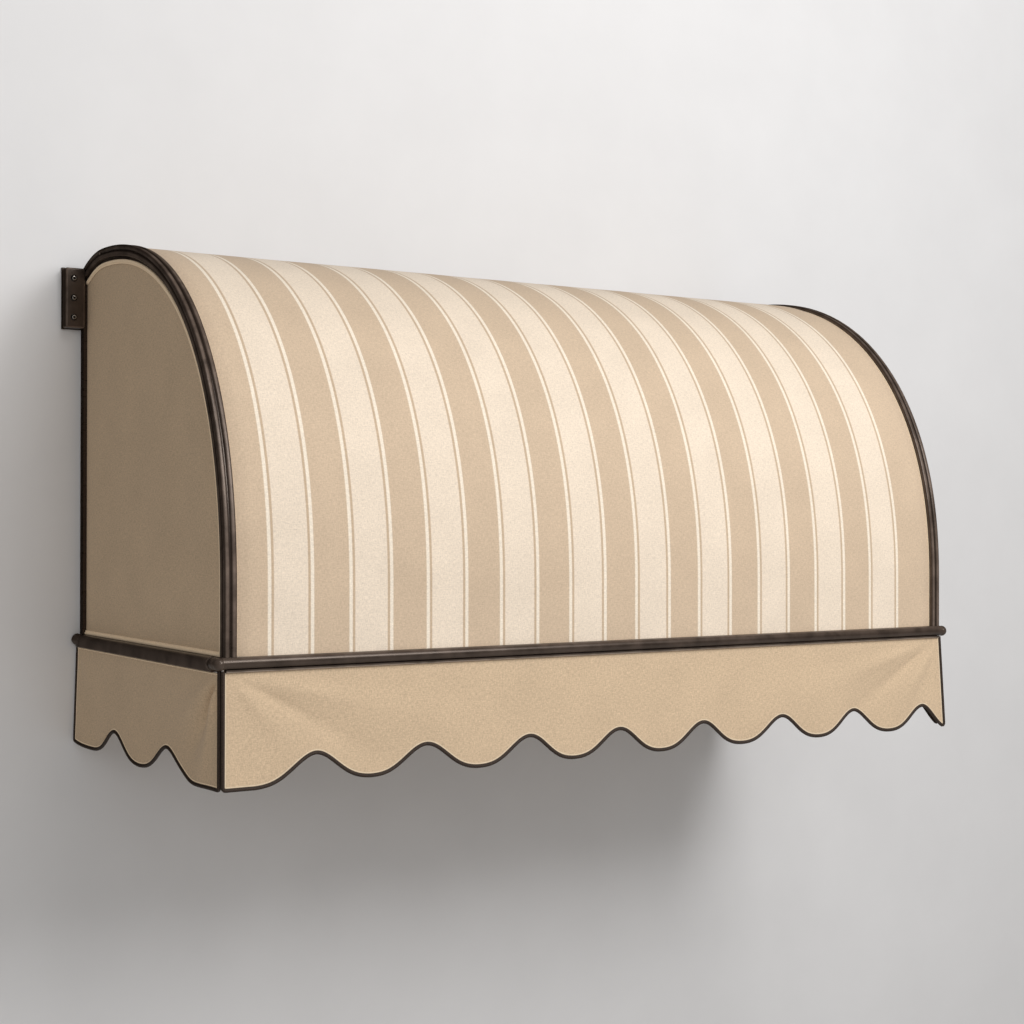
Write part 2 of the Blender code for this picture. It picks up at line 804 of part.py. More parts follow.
def make_side_panel(side, label):
    outline = panel_outline()
    back = bow_side - ledge_setback + gap
    x = side * (back + panel_thickness / 2)
    sheet(label + "_side_panel", [outline], panel_thickness, beige_canvas, SIDEWAYS, (x, 0, 0))
    front = back + panel_thickness + gap
    x = side * (front + welt_thickness / 2)
    sheet(label + "_panel_welt", [welt_outline()], welt_thickness, pale_welt, SIDEWAYS, (x, 0, 0))


def hem_height(phase, drop):
    """Height of the hem at a phase of the wave, hanging lower by the drop."""
    turn = 2 * math.pi * phase
    return rail_z - hem_drop - drop + hem_wave * math.cos(turn) + hem_peak * math.cos(2 * turn)


def hem_at(place, knots):
    """Height of the hem at a place between the first knot and the last."""
    after = next((i for i, knot in enumerate(knots) if place <= knot[0]), len(knots) - 1)
    after = max(after, 1)
    (a, *first), (b, *last) = knots[after - 1 : after + 1]
    share = (place - a) / (b - a)
    return hem_height(*(p + (q - p) * share for p, q in zip(first, last)))


def hem_places(start, end, knots):
    """Places for the hem's outline points, from the start to the end: equal steps of the wave's phase."""
    between = []
    for (a, phase_a, _), (b, phase_b, _) in zip(knots, knots[1:]):
        steps = max(1, round(hem_steps * (phase_b - phase_a)))
        between += [a + (b - a) * (i + 1) / steps for i in range(steps)]
    margin = binding_turn / 2
    return [start, *(p for p in between if start + margin < p < end - margin), end]


def bound_edge(knots):
    """The binding's middle line, down one end of a valance, along its hem and up the other end."""
    left = knots[0][0]
    right = knots[-1][0]
    top = track_bottom_z - gap
    turn = binding_turn
    hem = [(p, hem_at(p, knots)) for p in hem_places(left + turn, right - turn, knots)]
    first = arc((left + turn, hem[0][1] + turn), turn, 180, 225, 1)
    last = arc((right - turn, hem[-1][1] + turn), turn, 315, 360, 1)
    return [(left, top), *first, *hem, *last, (right, top)]


def with_ends(start, end, waves, ends):
    """The knots of a whole valance: its waves, between the knots at its two end bindings."""
    return [(start, *ends[0]), *waves, (end, *ends[1])]


def front_knots():
    edge = rail_half_width - valance_inset
    return with_ends(-edge, edge, front_waves, front_ends)


def side_knots(side):
    """Places from the front corner to the wall, as y."""
    waves, ends = (left_waves, left_ends) if side < 0 else (right_waves, right_ends)
    return with_ends(-projection + side_valance_start, -side_valance_end, waves, ends)


def make_valance(name, knots, turn, place, to_world):
    line = bound_edge(knots)
    apart = binding_radius + gap
    (left, top), (right, _) = line[0], line[-1]
    hem = [mitred(*corner, apart) for corner in zip(line, line[1:], line[2:])]
    cloth = [(left + apart, top), *hem, (right - apart, top)]
    sheet(name, [cloth], valance_thickness, beige_canvas, turn, place)
    tube(name + "_binding", [to_world(u, z) for u, z in line], binding_radius, brown_binding)


def make_valances():
    make_valance(
        "front_valance",
        front_knots(),
        FACING,
        (0, -projection, 0),
        lambda u, z: (u, -projection, z),
    )
    for side, label in SIDES:
        x = side * (rail_half_width - side_valance_inset)
        make_valance(
            label + "_valance",
            side_knots(side),
            SIDEWAYS,
            (x, 0, 0),
            lambda u, z, x=x: (x, u, z),
        )


make_head_rail()
make_front_rail()
make_track()
for side, label in SIDES:
    make_end_bow(side, label)
    make_rivet(side, label)
    make_upright(side, label)
    make_ledge(side, label)
    make_inner_bow(side, label)
    make_corner_fitting(side, label)
    make_side_rail(side, label)
    make_rail_cap(side, label)
    make_wall_bracket(side, label)
    make_foot_bracket(side, label)
    make_side_panel(side, label)
make_cover()
make_valances()
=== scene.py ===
"""The look of the window awning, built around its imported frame. All sizes are in metres."""

import math

import bmesh
import bpy
import numpy as np
from mathutils import Matrix, Vector


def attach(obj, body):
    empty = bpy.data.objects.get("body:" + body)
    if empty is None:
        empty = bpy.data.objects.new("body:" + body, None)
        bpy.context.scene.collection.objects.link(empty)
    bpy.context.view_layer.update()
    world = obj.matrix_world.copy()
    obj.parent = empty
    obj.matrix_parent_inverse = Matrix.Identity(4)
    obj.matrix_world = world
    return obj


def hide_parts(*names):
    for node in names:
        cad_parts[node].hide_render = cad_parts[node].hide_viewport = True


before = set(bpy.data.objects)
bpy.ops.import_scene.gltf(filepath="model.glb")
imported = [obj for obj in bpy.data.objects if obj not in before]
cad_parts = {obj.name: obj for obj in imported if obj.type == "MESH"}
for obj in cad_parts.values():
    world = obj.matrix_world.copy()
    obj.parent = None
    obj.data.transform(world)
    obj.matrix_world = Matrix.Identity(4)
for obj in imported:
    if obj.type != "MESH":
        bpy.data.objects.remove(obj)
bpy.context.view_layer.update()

SIDES = ((-1, "left"), (1, "right"))

# The frame's sizes, as in its solids
rail_half_width = 0.988
projection = 0.832
crown_height = 0.894
crown_setback = 0.141
wall_fall = 0.037
rail_z = -0.852
shoulder_height = 0.131
hood_fullness = 2.22
bow_proud = 0.004
bow_side = 0.978
bow_width = 0.0265
bow_depth = 0.025
bead_height = 0.003
groove_width = 0.003
groove_depth = 0.0034
foot_height = 0.0085
ledge_outside = 0.9675
ledge_thickness = 0.003
ledge_inset = 0.0253
ledge_width = 0.022
inner_bow_radius = 0.010
inner_bow_inset = 0.0168
inner_bow_place = 0.320
rear_edge_y = -0.0223
upright_front_y = -0.0203
rail_radius = 0.012
rail_end = 0.9835
track_end = 0.9749
track_width = 0.013
track_height = 0.0057
track_bottom_z = -0.870
ball_radius = 0.0128
ball_z = -0.853
collar_radius = 0.0122
collar_reach = 0.035
ring_radius = 0.0136
ring_width = 0.003
side_rail_x = 0.979
side_rail_width = 0.024
side_rail_top_z = -0.842
side_rail_bottom_z = -0.870
side_rail_corner = 0.009
side_rail_front_y = -0.7967
side_rail_rear_y = -0.0065
cap_radius = 0.0138
cap_setback = 0.0135
bracket_near = 0.9783
bracket_width = 0.045
bracket_front_y = -0.030
bracket_back_y = -0.0043
bracket_low_z = -0.1305
bracket_high_z = 0.0085
bracket_screw_x = 1.0048
bracket_screw_zs = (-0.106, -0.061, -0.016)
foot_screw_xs = (0.9542, 0.9367)
foot_screw_z = -0.856
foot_front_y = -0.004
head_radius = 0.0078
rivet_radius = 0.0035
rivet_height = 0.0016
rivet_place = 0.128
rivet_inset = 0.0110
cover_half_width = 0.9512
cover_inset = 0.0041
cover_bottom_z = -0.8397
panel_inset = 0.0325
panel_bottom_z = -0.8417
panel_x = 0.9689
welt_inside_x = 0.9703
welt_width = 0.010
welt_thickness = 0.0035
valance_top_z = -0.8703
hem_drop = 0.2170
hem_wave = 0.0278
hem_peak = 0.0042
cord_top_z = -0.8672  # of the bindings' ends, just under the corner balls
# Each knot is a place along a valance, the hem wave's phase there, and how much lower the hem hangs there
front_knots = (
    (-0.980, -0.5, 0.005),
    (-0.915, -0.5, 0.005),
    (-0.780, 0.0, 0.0),
    (-0.268, 2.0, 0.0),
    (0.688, 6.0, 0.0),
    (0.909, 7.0, 0.002),
    (0.980, 7.38, 0.008),
)
left_knots = (
    (-0.8242, -0.5, 0.005),
    (-0.715, -0.5, 0.006),
    (-0.557, 0.0, 0.006),
    (-0.252, 1.0, 0.006),
    (-0.106, 1.5, 0.0035),
    (-0.0045, 1.66, 0.0025),
)
right_knots = (
    (-0.8242, -0.33, 0.006),
    (-0.7535, 0.0, 0.005),
    (-0.450, 1.0, 0.0),
    (-0.150, 2.0, 0.0),
    (-0.0045, 2.48, 0.0),
)
side_valance_x = 0.984
binding_radius = 0.0041

# Sizes that only the look has
cloth_thickness = 0.0011
stripe_pitch = 0.180
stripe_start = -0.925  # where the pattern's first repeat begins, in the beige left of the first cream stripe
last_stripe_end = 0.880
piping_width = 0.0030
piping_proud = 0.0006
cover_piping_radius = 0.0013
valance_height = 0.225
edge_dip = 0.006  # of the cover, beside the end bows
end_flare = 0.018  # of the front valance's right end, at the hem
rear_flare = 0.007  # of the side valances' rear ends, at the hem
fit_gap = 0.0003  # between the bows' feet and the front rail
rear_steps = 39  # outline points on a side panel's edge at the upright
hem_turn = 0.006  # radius of the bindings' lower corners


def new_object(name, data):
    item = bpy.data.objects.new(name, data)
    bpy.context.scene.collection.objects.link(item)
    return item


def make_camera():
    yaw, pitch, roll = (math.radians(a) for a in (32.92, 0.23, 0.13))
    forward = Vector((math.sin(yaw) * math.cos(pitch), math.cos(yaw) * math.cos(pitch), math.sin(pitch)))
    level = Vector((math.cos(yaw), -math.sin(yaw), 0))
    above = level.cross(forward)
    right = level * math.cos(roll) + above * math.sin(roll)
    up = above * math.cos(roll) - level * math.sin(roll)
    data = bpy.data.cameras.new("camera")
    data.sensor_width = 36
    data.lens = 61.02
    camera = new_object("camera", data)
    camera.matrix_world = Matrix.Translation((-2.3346, -3.9506, -0.5707)) @ Matrix(
        (right, up, -forward)
    ).transposed().to_4x4()
    bpy.context.scene.camera = camera


make_camera()


# Node helpers


class Tree:
    """A material's node tree, with short ways to add and join nodes."""

    def __init__(self, name):
        self.material = bpy.data.materials.new(name)
        self.material.use_nodes = True
        self.nodes = self.material.node_tree.nodes
        self.links = self.material.node_tree.links
        self.shader = self.nodes["Principled BSDF"]

    def add(self, kind, outlet=0, settings=None, **inlets):
        node = self.nodes.new("ShaderNode" + kind)
        for key, value in (settings or {}).items():
            setattr(node, key, value)
        for key, value in inlets.items():
            self.put(node.inputs[key.replace("_", " ")], value)
        return node.outputs[outlet]

    def put(self, inlet, value):
        if isinstance(value, bpy.types.NodeSocket):
            self.links.new(value, inlet)
        else:
            inlet.default_value = value

    def maths(self, operation, *values):
        node = self.nodes.new("ShaderNodeMath")
        node.operation = operation
        for inlet, value in zip(node.inputs, values):
            self.put(inlet, value)
        return node.outputs[0]

    def mix(self, share, first, second, blend="MIX"):
        node = self.nodes.new("ShaderNodeMix")
        node.data_type = "RGBA"
        node.blend_type = blend
        for index, value in ((0, share), (6, first), (7, second)):
            if isinstance(value, tuple) and len(value) == 3:
                value = (*value, 1.0)
            self.put(node.inputs[index], value)
        return node.outputs[2]

    def noise(self, vector, scale, detail=2.0, roughness=0.5):
        return self.add("TexNoise", Vector=vector, Scale=scale, Detail=detail, Roughness=roughness)

    def times(self, vector, factors):
        node = self.nodes.new("ShaderNodeVectorMath")
        node.operation = "MULTIPLY"
        self.put(node.inputs[0], vector)
        self.put(node.inputs[1], factors)
        return node.outputs[0]

    def spread(self, value, low, high, to_low, to_high):
        """The value, moved from one range to another and held within it."""
        node = self.nodes.new("ShaderNodeMapRange")
        for inlet, given in zip(node.inputs, (value, low, high, to_low, to_high)):
            self.put(inlet, given)
        return node.outputs[0]

    def bump(self, height, strength, distance):
        return self.add("Bump", Height=height, Strength=strength, Distance=distance)

    def set(self, **inlets):
        for key, value in inlets.items():
            self.put(self.shader.inputs[key.replace("_", " ")], value)
        return self.material


# Materials


def stripes(tree, across, beige, cream, line, white):
    """The cover's pattern across its width: cream stripes edged with a tan line and a white one."""
    place = tree.maths("DIVIDE", tree.maths("SUBTRACT", across, stripe_start), stripe_pitch)
    within = tree.maths("FRACT", place)
    ramp = tree.nodes.new("ShaderNodeValToRGB")
    tree.put(ramp.inputs[0], within)
    colours = ramp.color_ramp
    edges = (
        (0.0392, beige), (0.0400, white), (0.0468, white), (0.0476, line), (0.0524, line), (0.0532, cream),
        (0.1272, cream), (0.1280, line), (0.1328, line), (0.1336, white), (0.1404, white), (0.1412, beige),
    )
    colours.elements[0].position = edges[0][0] / stripe_pitch
    colours.elements[0].color = (*edges[0][1], 1)
    colours.elements[1].position = edges[-1][0] / stripe_pitch
    colours.elements[1].color = (*edges[-1][1], 1)
    for place, colour in edges[1:-1]:
        stop = colours.elements.new(place / stripe_pitch)
        stop.color = (*colour, 1)
    past_last = tree.maths("GREATER_THAN", across, last_stripe_end)
    return tree.mix(past_last, ramp.outputs[0], beige)


def canvas(name, colour, slub=0.10, pattern=None):
    """Woven canvas. Its map is in metres, so that the threads keep one size everywhere."""
    tree = Tree(name)
    cloth = tree.nodes.new("ShaderNodeUVMap").outputs[0]
    parts = tree.nodes.new("ShaderNodeSeparateXYZ")
    tree.put(parts.inputs[0], cloth)
    u, v = parts.outputs[0], parts.outputs[1]
    if pattern:
        colour = pattern(tree, u)
    thread = 2 * math.pi / 0.0026
    warp = tree.maths("SINE", tree.maths("MULTIPLY", u, thread))
    weft = tree.maths("SINE", tree.maths("MULTIPLY", v, thread))
    weave = tree.maths("MULTIPLY", warp, weft)
    up_slubs = tree.noise(tree.times(cloth, (420.0, 110.0, 1.0)), 1.0, 2.0, 0.6)
    cross_slubs = tree.noise(tree.times(cloth, (110.0, 420.0, 1.0)), 1.0, 2.0, 0.6)
    grain = tree.noise(cloth, 330.0, 3.0, 0.65)
    mottle = tree.noise(cloth, 9.0, 3.0, 0.55)
    threads = tree.maths("ADD", tree.maths("ADD", up_slubs, cross_slubs), grain)
    light = tree.spread(threads, 1.05, 1.95, 1 - slub, 1 + slub)
    cloudy = tree.spread(mottle, 0.3, 0.7, 0.965, 1.035)
    woven = tree.spread(weave, -1.0, 1.0, 0.985, 1.015)
    shade = tree.maths("MULTIPLY", tree.maths("MULTIPLY", light, cloudy), woven)
    toned = tree.add("CombineColor", Red=shade, Green=shade, Blue=shade)
    painted = tree.mix(1.0, colour, toned, "MULTIPLY")
    relief = tree.maths("ADD", tree.maths("MULTIPLY", weave, 0.4), threads)
    roughness = tree.spread(grain, 0.3, 0.7, 0.78, 0.92)
    return tree.set(
        Base_Color=painted,
        Roughness=roughness,
        Sheen_Weight=0.12,
        Sheen_Roughness=0.5,
        Specular_IOR_Level=0.25,
        Normal=tree.bump(relief, 0.35, 0.0004),
    )


def bronze_metal(name, wear_and_highlight_colour):
    """A dark bronze coating: faint streaks along the bars, fine grain, and a lighter colour that is both worn
    edges and painted highlights on crests and tops.
    """
    tree = Tree(name)
    place = tree.nodes.new("ShaderNodeTexCoord").outputs["Object"]
    clouds = tree.noise(place, 22.0, 4.0, 0.6)
    speckle = tree.noise(place, 900.0, 2.0, 0.6)
    streaks = tree.noise(tree.times(place, (14.0, 240.0, 240.0)), 1.0, 2.0, 0.5)
    # The wear_and_highlight attribute lightens worn edges, and also paints highlights on bead crests, the
    # front rail's top, the track bead and rivet domes.
    wear_and_highlight = tree.add("Attribute", 2, {"attribute_name": "wear_and_highlight"})
    wear_and_highlight_share = tree.maths("MULTIPLY", wear_and_highlight, tree.spread(clouds, 0.35, 0.65, 0.35, 1.0))
    dark = tree.mix(tree.spread(clouds, 0.3, 0.7, 0.0, 1.0), (0.017, 0.0112, 0.0082), (0.028, 0.0186, 0.0138))
    grained = tree.mix(tree.spread(speckle, 0.45, 0.75, 0.0, 0.25), dark, (0.045, 0.031, 0.023))
    with_wear_and_highlight = tree.mix(wear_and_highlight_share, grained, wear_and_highlight_colour)
    streaked = tree.spread(streaks, 0.3, 0.7, 0.265, 0.315)
    rough = tree.maths("ADD", streaked, tree.maths("MULTIPLY", wear_and_highlight_share, 0.06))
    height = tree.maths("ADD", speckle, tree.maths("MULTIPLY", streaks, 0.3))
    return tree.set(
        Base_Color=with_wear_and_highlight,
        Roughness=rough,
        Metallic=0.0,
        Specular_IOR_Level=0.43,
        Specular_Tint=(1.0, 0.84, 0.73, 1.0),
        Normal=tree.bump(height, 0.035, 0.0002),
    )


def screw_metal():
    tree = Tree("dark_steel")
    place = tree.nodes.new("ShaderNodeTexCoord").outputs["Object"]
    turned = tree.noise(place, 1400.0, 2.0, 0.5)
    wear_and_highlight = tree.add("Attribute", 2, {"attribute_name": "wear_and_highlight"})
    # The light colour is a painted highlight on the screw head's raised ring, and wear on its rim.
    colour = tree.mix(wear_and_highlight, (0.016, 0.012, 0.010), (0.52, 0.47, 0.42))
    return tree.set(
        Base_Color=colour,
        Roughness=tree.spread(turned, 0.3, 0.7, 0.24, 0.40),
        Metallic=0.85,
        Normal=tree.bump(turned, 0.1, 0.0001),
    )


def braid(name, dark, light):
    """The valance's bound edge: a dark woven braid, whose threads cross it on a slant."""
    tree = Tree(name)
    cloth = tree.nodes.new("ShaderNodeUVMap").outputs[0]
    parts = tree.nodes.new("ShaderNodeSeparateXYZ")
    tree.put(parts.inputs[0], cloth)
    around, along = parts.outputs[0], parts.outputs[1]
    slant = tree.maths("ADD", tree.maths("MULTIPLY", along, 2 * math.pi / 0.0016), around)
    counter = tree.maths("SUBTRACT", tree.maths("MULTIPLY", along, 2 * math.pi / 0.0016), around)
    plait = tree.maths("MULTIPLY", tree.maths("SINE", slant), tree.maths("SINE", counter))
    place = tree.nodes.new("ShaderNodeTexCoord").outputs["Object"]
    fuzz = tree.noise(place, 500.0, 3.0, 0.6)
    share = tree.spread(tree.maths("ADD", tree.maths("MULTIPLY", plait, 0.12), fuzz), 0.35, 0.75, 0.0, 1.0)
    return tree.set(
        Base_Color=tree.mix(share, dark, light),
        Roughness=tree.spread(fuzz, 0.3, 0.7, 0.50, 0.68),
        Specular_IOR_Level=0.3,
        Normal=tree.bump(plait, 0.3, 0.0003),
    )


beige = (0.600, 0.462, 0.330)
cream = (0.795, 0.676, 0.546)
tan_line = (0.555, 0.420, 0.295)
white_line = (0.850, 0.750, 0.620)
valance_beige = (0.615, 0.462, 0.308)
pale_edge = (0.740, 0.600, 0.430)

# Its lighter colour is worn edges, and a painted highlight on the bow beads' crests and the front rail's top.
bronze = bronze_metal("dark_bronze_coating", (0.165, 0.122, 0.097))
# Its light colour is a painted highlight: a bright line on the valance track's lower front edge and a light
# dot on each rivet's dome.
painted_highlight_bronze = bronze_metal("bronze_with_painted_highlight", (0.36, 0.29, 0.235))
steel = screw_metal()
striped = canvas(
    "striped_canvas_weave",
    None,
    0.17,
    lambda tree, across: stripes(tree, across, beige, cream, tan_line, white_line),
)
plain_canvas = canvas("beige_canvas_weave", valance_beige, 0.24)
# The sides' cloth: the front valance's beige painted a little darker and warmer, a painted shade for the
# sides.
shaded_side_canvas = canvas("side_canvas_weave", (0.605, 0.445, 0.290), 0.24)
welt_canvas = canvas("pale_welt_weave", pale_edge, 0.10)
# A brighter copy of the pale welt for the sides' welts and piping: painted light, as the sides get little
# lamp light.
brightened_side_welt_canvas = canvas("side_welt_weave", (0.950, 0.740, 0.510), 0.10)
brown_braid = braid("brown_braid", (0.019, 0.012, 0.008), (0.068, 0.043, 0.030))


# Mesh helpers


def finish_mesh(name, points, faces, material, cloth_map=None, wear_and_highlight=None, sharp=None):
    """A mesh object with a map in metres and, on metal, how worn each point is and how much painted highlight
    it has.
    """
    mesh = bpy.data.meshes.new(name)
    mesh.from_pydata([tuple(p) for p in points], [], faces)
    if cloth_map is not None:
        layer = mesh.uv_layers.new(name="cloth")
        layer.data.foreach_set("uv", np.asarray(cloth_map, np.float32).ravel())
    if wear_and_highlight is not None:
        layer = mesh.attributes.new("wear_and_highlight", "FLOAT", "POINT")
        layer.data.foreach_set("value", np.asarray(wear_and_highlight, np.float32).ravel())
    mesh.validate()
    mesh.materials.append(material)
    mesh.shade_smooth()
    if sharp:
        mesh.set_sharp_from_angle(angle=math.radians(sharp))
    return new_object(name, mesh)


def ringed(name, rings, material, flat=None, wear_and_highlight=None, sharp=None, flip=False):
    """A closed bar through rings of points, capped at both ends. flat gives each point's place on the cloth,
    with the first point of each ring once more at its end."""
    rings = np.asarray(rings, float)
    count, width = rings.shape[:2]
    i, j = (a.ravel() for a in np.meshgrid(np.arange(count - 1), np.arange(width), indexing="ij"))
    corners = [(i, j), (i, j + 1), (i + 1, j + 1), (i + 1, j)]
    if flip:
        corners = corners[::-1]
    faces = np.stack([a * width + b % width for a, b in corners], 1).tolist()
    first = list(range(width))
    last = [(count - 1) * width + k for k in range(width)]
    faces += [first if flip else first[::-1], last[::-1] if flip else last]
    cloth_map = None
    if flat is not None:
        around = np.stack([flat[a, b] for a, b in corners], 1).reshape(-1, 2)
        cloth_map = np.vstack([around, np.zeros((2 * width, 2))])
    return finish_mesh(name, rings.reshape(-1, 3), faces, material, cloth_map, wear_and_highlight, sharp)


def thin_sheet(name, front, back, material, flat):
    """A closed sheet of cloth between two grids of points, joined along their rims."""
    height, width = front.shape[:2]
    count = height * width
    points = np.vstack([front.reshape(-1, 3), back.reshape(-1, 3)])
    i, j = (a.ravel() for a in np.meshgrid(np.arange(height - 1), np.arange(width - 1), indexing="ij"))
    corners = [(i, j), (i, j + 1), (i + 1, j + 1), (i + 1, j)]
    face_front = np.stack([a * width + b for a, b in corners], 1)
    face_back = count + face_front[:, ::-1]
    map_front = np.stack([flat[a, b] for a, b in corners], 1)
    map_back = map_front[:, ::-1]
    rim = [(0, k) for k in range(width)] + [(k, width - 1) for k in range(1, height)]
    rim += [(height - 1, k) for k in range(width - 2, -1, -1)] + [(k, 0) for k in range(height - 2, 0, -1)]
    edge = np.array([a * width + b for a, b in rim])
    after = np.roll(edge, -1)
    face_rim = np.stack([after, edge, edge + count, after + count], 1)
    spots = flat.reshape(-1, 2)
    map_rim = np.stack([spots[after], spots[edge], spots[edge], spots[after]], 1)
    faces = np.vstack([face_front, face_back, face_rim]).tolist()
    cloth_map = np.concatenate([map_front, map_back, map_rim]).reshape(-1, 2)
    return finish_mesh(name, points, faces, material, cloth_map, sharp=60)


def outline_points(steps=420):
    """Dense (y, z) points of the bows' outer surface, from behind the wall plane down past the rail."""
    behind = np.linspace(1.6, 0.0, 60, endpoint=False)
    rear = np.stack(
        [-crown_setback * (1 - behind), rail_z + crown_height - wall_fall * behind**2], 1
    )
    angle = np.linspace(0, math.pi / 2, steps)
    reach = projection + bow_proud - crown_setback
    rise = crown_height - shoulder_height
    power = 2 / hood_fullness
    arch = np.stack(
        [
            -crown_setback - reach * np.sin(angle) ** power,
            rail_z + shoulder_height + rise * np.clip(np.cos(angle), 0, 1) ** power,
        ],
        1,
    )
    down = np.linspace(rail_z + shoulder_height, rail_z - 0.02, 40)[1:]
    foot = np.stack([np.full(len(down), -projection - bow_proud), down], 1)
    return np.vstack([rear, arch, foot])


HOOD = outline_points()


def unit(vectors):
    return vectors / np.linalg.norm(vectors, axis=1)[:, None]


def distances(line):
    """How far along the line each of its points is."""
    return np.concatenate([[0], np.cumsum(np.linalg.norm(np.diff(line, axis=0), axis=1))])


def inward(points):
    along = unit(np.gradient(points, axis=0))
    return np.stack([-along[:, 1], along[:, 0]], 1)


HOOD_IN = inward(HOOD)


def resampled(line, count):
    """The line, with its points the same distance apart."""
    along = distances(line)
    wanted = np.linspace(0, along[-1], count)
    return np.stack([np.interp(wanted, along, line[:, k]) for k in range(line.shape[1])], 1)


def hood_line(inset, start_y, end_z, count):
    """The hood's outline moved in by the inset, cut at a depth and a height, as evenly spaced points."""
    line = HOOD + HOOD_IN * inset
    first = int(np.argmax(line[:, 0] <= start_y))
    last = int(np.max(np.nonzero(line[:, 1] > end_z)[0]))
    a, b = line[first - 1], line[first]
    start = a + (b - a) * (start_y - a[0]) / (b[0] - a[0])
    c, d = line[last], line[last + 1]
    end = c + (d - c) * (end_z - c[1]) / (d[1] - c[1])
    return resampled(np.vstack([start, line[first : last + 1], end]), count)


def lofted(name, section, start_y, end_z_of, x_of, count, material, wear_and_highlight, flip=False):
    """A bar that follows the hood. The section is (across, inset) points, and each has its own line."""
    lines = [hood_line(inset, start_y, end_z_of(inset), count) for _, inset in section]
    rows = [[(x_of(across), *line[k]) for (across, _), line in zip(section, lines)] for k in range(count)]
    return ringed(name, rows, material, wear_and_highlight=np.tile(wear_and_highlight, count), sharp=40, flip=flip)


def lathe(name, profile, place, axis, material, sides, wear_and_highlight, sharp=50):
    """A turned piece: the profile is (radius, distance along the axis) points, on the axis at both ends."""
    turn = Vector(axis).to_track_quat("Z", "Y").to_matrix()
    points, faces, wear_and_highlight_share = [], [], []
    rings = []
    for k, (radius, height) in enumerate(profile):
        on_axis = radius < 1e-7
        ring = []
        for s in range(1 if on_axis else sides):
            angle = 2 * math.pi * s / sides
            spot = Vector((radius * math.cos(angle), radius * math.sin(angle), height))
            ring.append(len(points))
            points.append(Vector(place) + turn @ spot)
            wear_and_highlight_share.append(wear_and_highlight[k])
        rings.append(ring)
    for low, high in zip(rings, rings[1:]):
        for s in range(sides):
            t = (s + 1) % sides
            if len(low) == 1:
                faces.append((low[0], high[t], high[s]))
            elif len(high) == 1:
                faces.append((low[s], low[t], high[0]))
            else:
                faces.append((low[s], low[t], high[t], high[s]))
    return finish_mesh(name, points, faces, material, wear_and_highlight=wear_and_highlight_share, sharp=sharp)


def bar_along(name, section, start, end, to_world, material, wear_and_highlight, steps, sharp=40, flip=False):
    """A straight bar with one section: to_world turns (across, up, along) into a point."""
    rows = [[to_world(a, b, s) for a, b in section] for s in np.linspace(start, end, steps)]
    return ringed(name, rows, material, wear_and_highlight=np.tile(wear_and_highlight, steps), sharp=sharp, flip=flip)


def tube_along(name, path, radius, material, sides):
    """A round cord along 3-D points, with its map around and along it."""
    path = np.asarray(path, float)
    along = unit(np.gradient(path, axis=0))
    steps = distances(path)
    flat_normal = np.cross(along[0], along[len(along) // 3])
    if np.linalg.norm(flat_normal) < 1e-4:
        flat_normal = np.cross(along[0], (0.0, 0.0, 1.0))
    flat_normal /= np.linalg.norm(flat_normal)
    side = unit(flat_normal - along * (along @ flat_normal)[:, None])
    up = np.cross(along, side)
    angles = np.arange(sides) * 2 * math.pi / sides
    rows = [
        p + radius * (math.cos(a) * s + math.sin(a) * u)
        for p, s, u in zip(path, side, up)
        for a in angles
    ]
    rows = np.array(rows).reshape(len(path), sides, 3)
    flat = np.array([[(2 * math.pi * k / sides * 3, d) for k in range(sides + 1)] for d in steps])
    return ringed(name, rows, material, flat=flat, sharp=60)


def settle(piece, slot, *nodes):
    """Puts a piece on the frame and hides the solids that it stands for. The slot it is given is not used."""
    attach(piece, "root")
    if nodes:
        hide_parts(*nodes)
    return piece


METAL = "dark_bronze_metal"


# Metal frame


def bead_line(start, width, height, steps=9):
    """Points over one rounded bead, from one foot to the other, as (across, inset)."""
    angles = np.linspace(0.10, math.pi - 0.10, steps)
    return [
        (start + width / 2 * (1 - math.cos(a)), height * (1 - math.sin(a) ** 0.75))
        for a in angles
    ]


def bow_section():
    """The end bow's section, and how worn each of its points is and how much painted highlight it has."""
    bead = (bow_width - groove_width) / 2
    first = bead_line(0.0, bead, bead_height)
    second = bead_line(bow_width - bead, bead, bead_height)
    groove = [(bow_width / 2 - 0.0008, groove_depth), (bow_width / 2 + 0.0008, groove_depth)]
    middle = bow_depth / 2
    side = [
        (0.0, bow_depth - 0.0015),
        (0.0, middle + 0.0046),
        (0.0006, middle + 0.0036),
        (0.0022, middle + 0.0012),
        (0.0022, middle - 0.0012),
        (0.0006, middle - 0.0030),
        (0.0, middle - 0.0040),
        (0.0, 0.0056),
        (0.0004, 0.0040),
    ]
    inner = [(bow_width, 0.0045), (bow_width, bow_depth - 0.001), (bow_width - 0.001, bow_depth)]
    points = [*first, *groove, *second, *inner, (0.0015, bow_depth), *side]
    # The bead crests are painted lighter: a painted highlight over their wear; the other lighter points are
    # worn edges.
    crest = [1.0 if 3 <= k <= 5 else 0.25 for k in range(len(first))]
    wear_and_highlight = [*crest, 0, 0, *crest, 0.6, 0.3, 0.3, 0.5, 0.6, 0.8, 0.3, 0, 0, 0.3, 0.8, 0.6, 0.3]
    return points, wear_and_highlight


def rail_top(inset):
    """How far above the front rail's middle a bow ends at an inset, so that it fits over the rail."""
    behind = -bow_proud + inset
    return math.sqrt(max((rail_radius + fit_gap) ** 2 - behind**2, 0.0))


def bow_foot(inset):
    return rail_z + max(foot_height, rail_top(inset))


def inner_foot(inset):
    return rail_z + rail_top(inset)


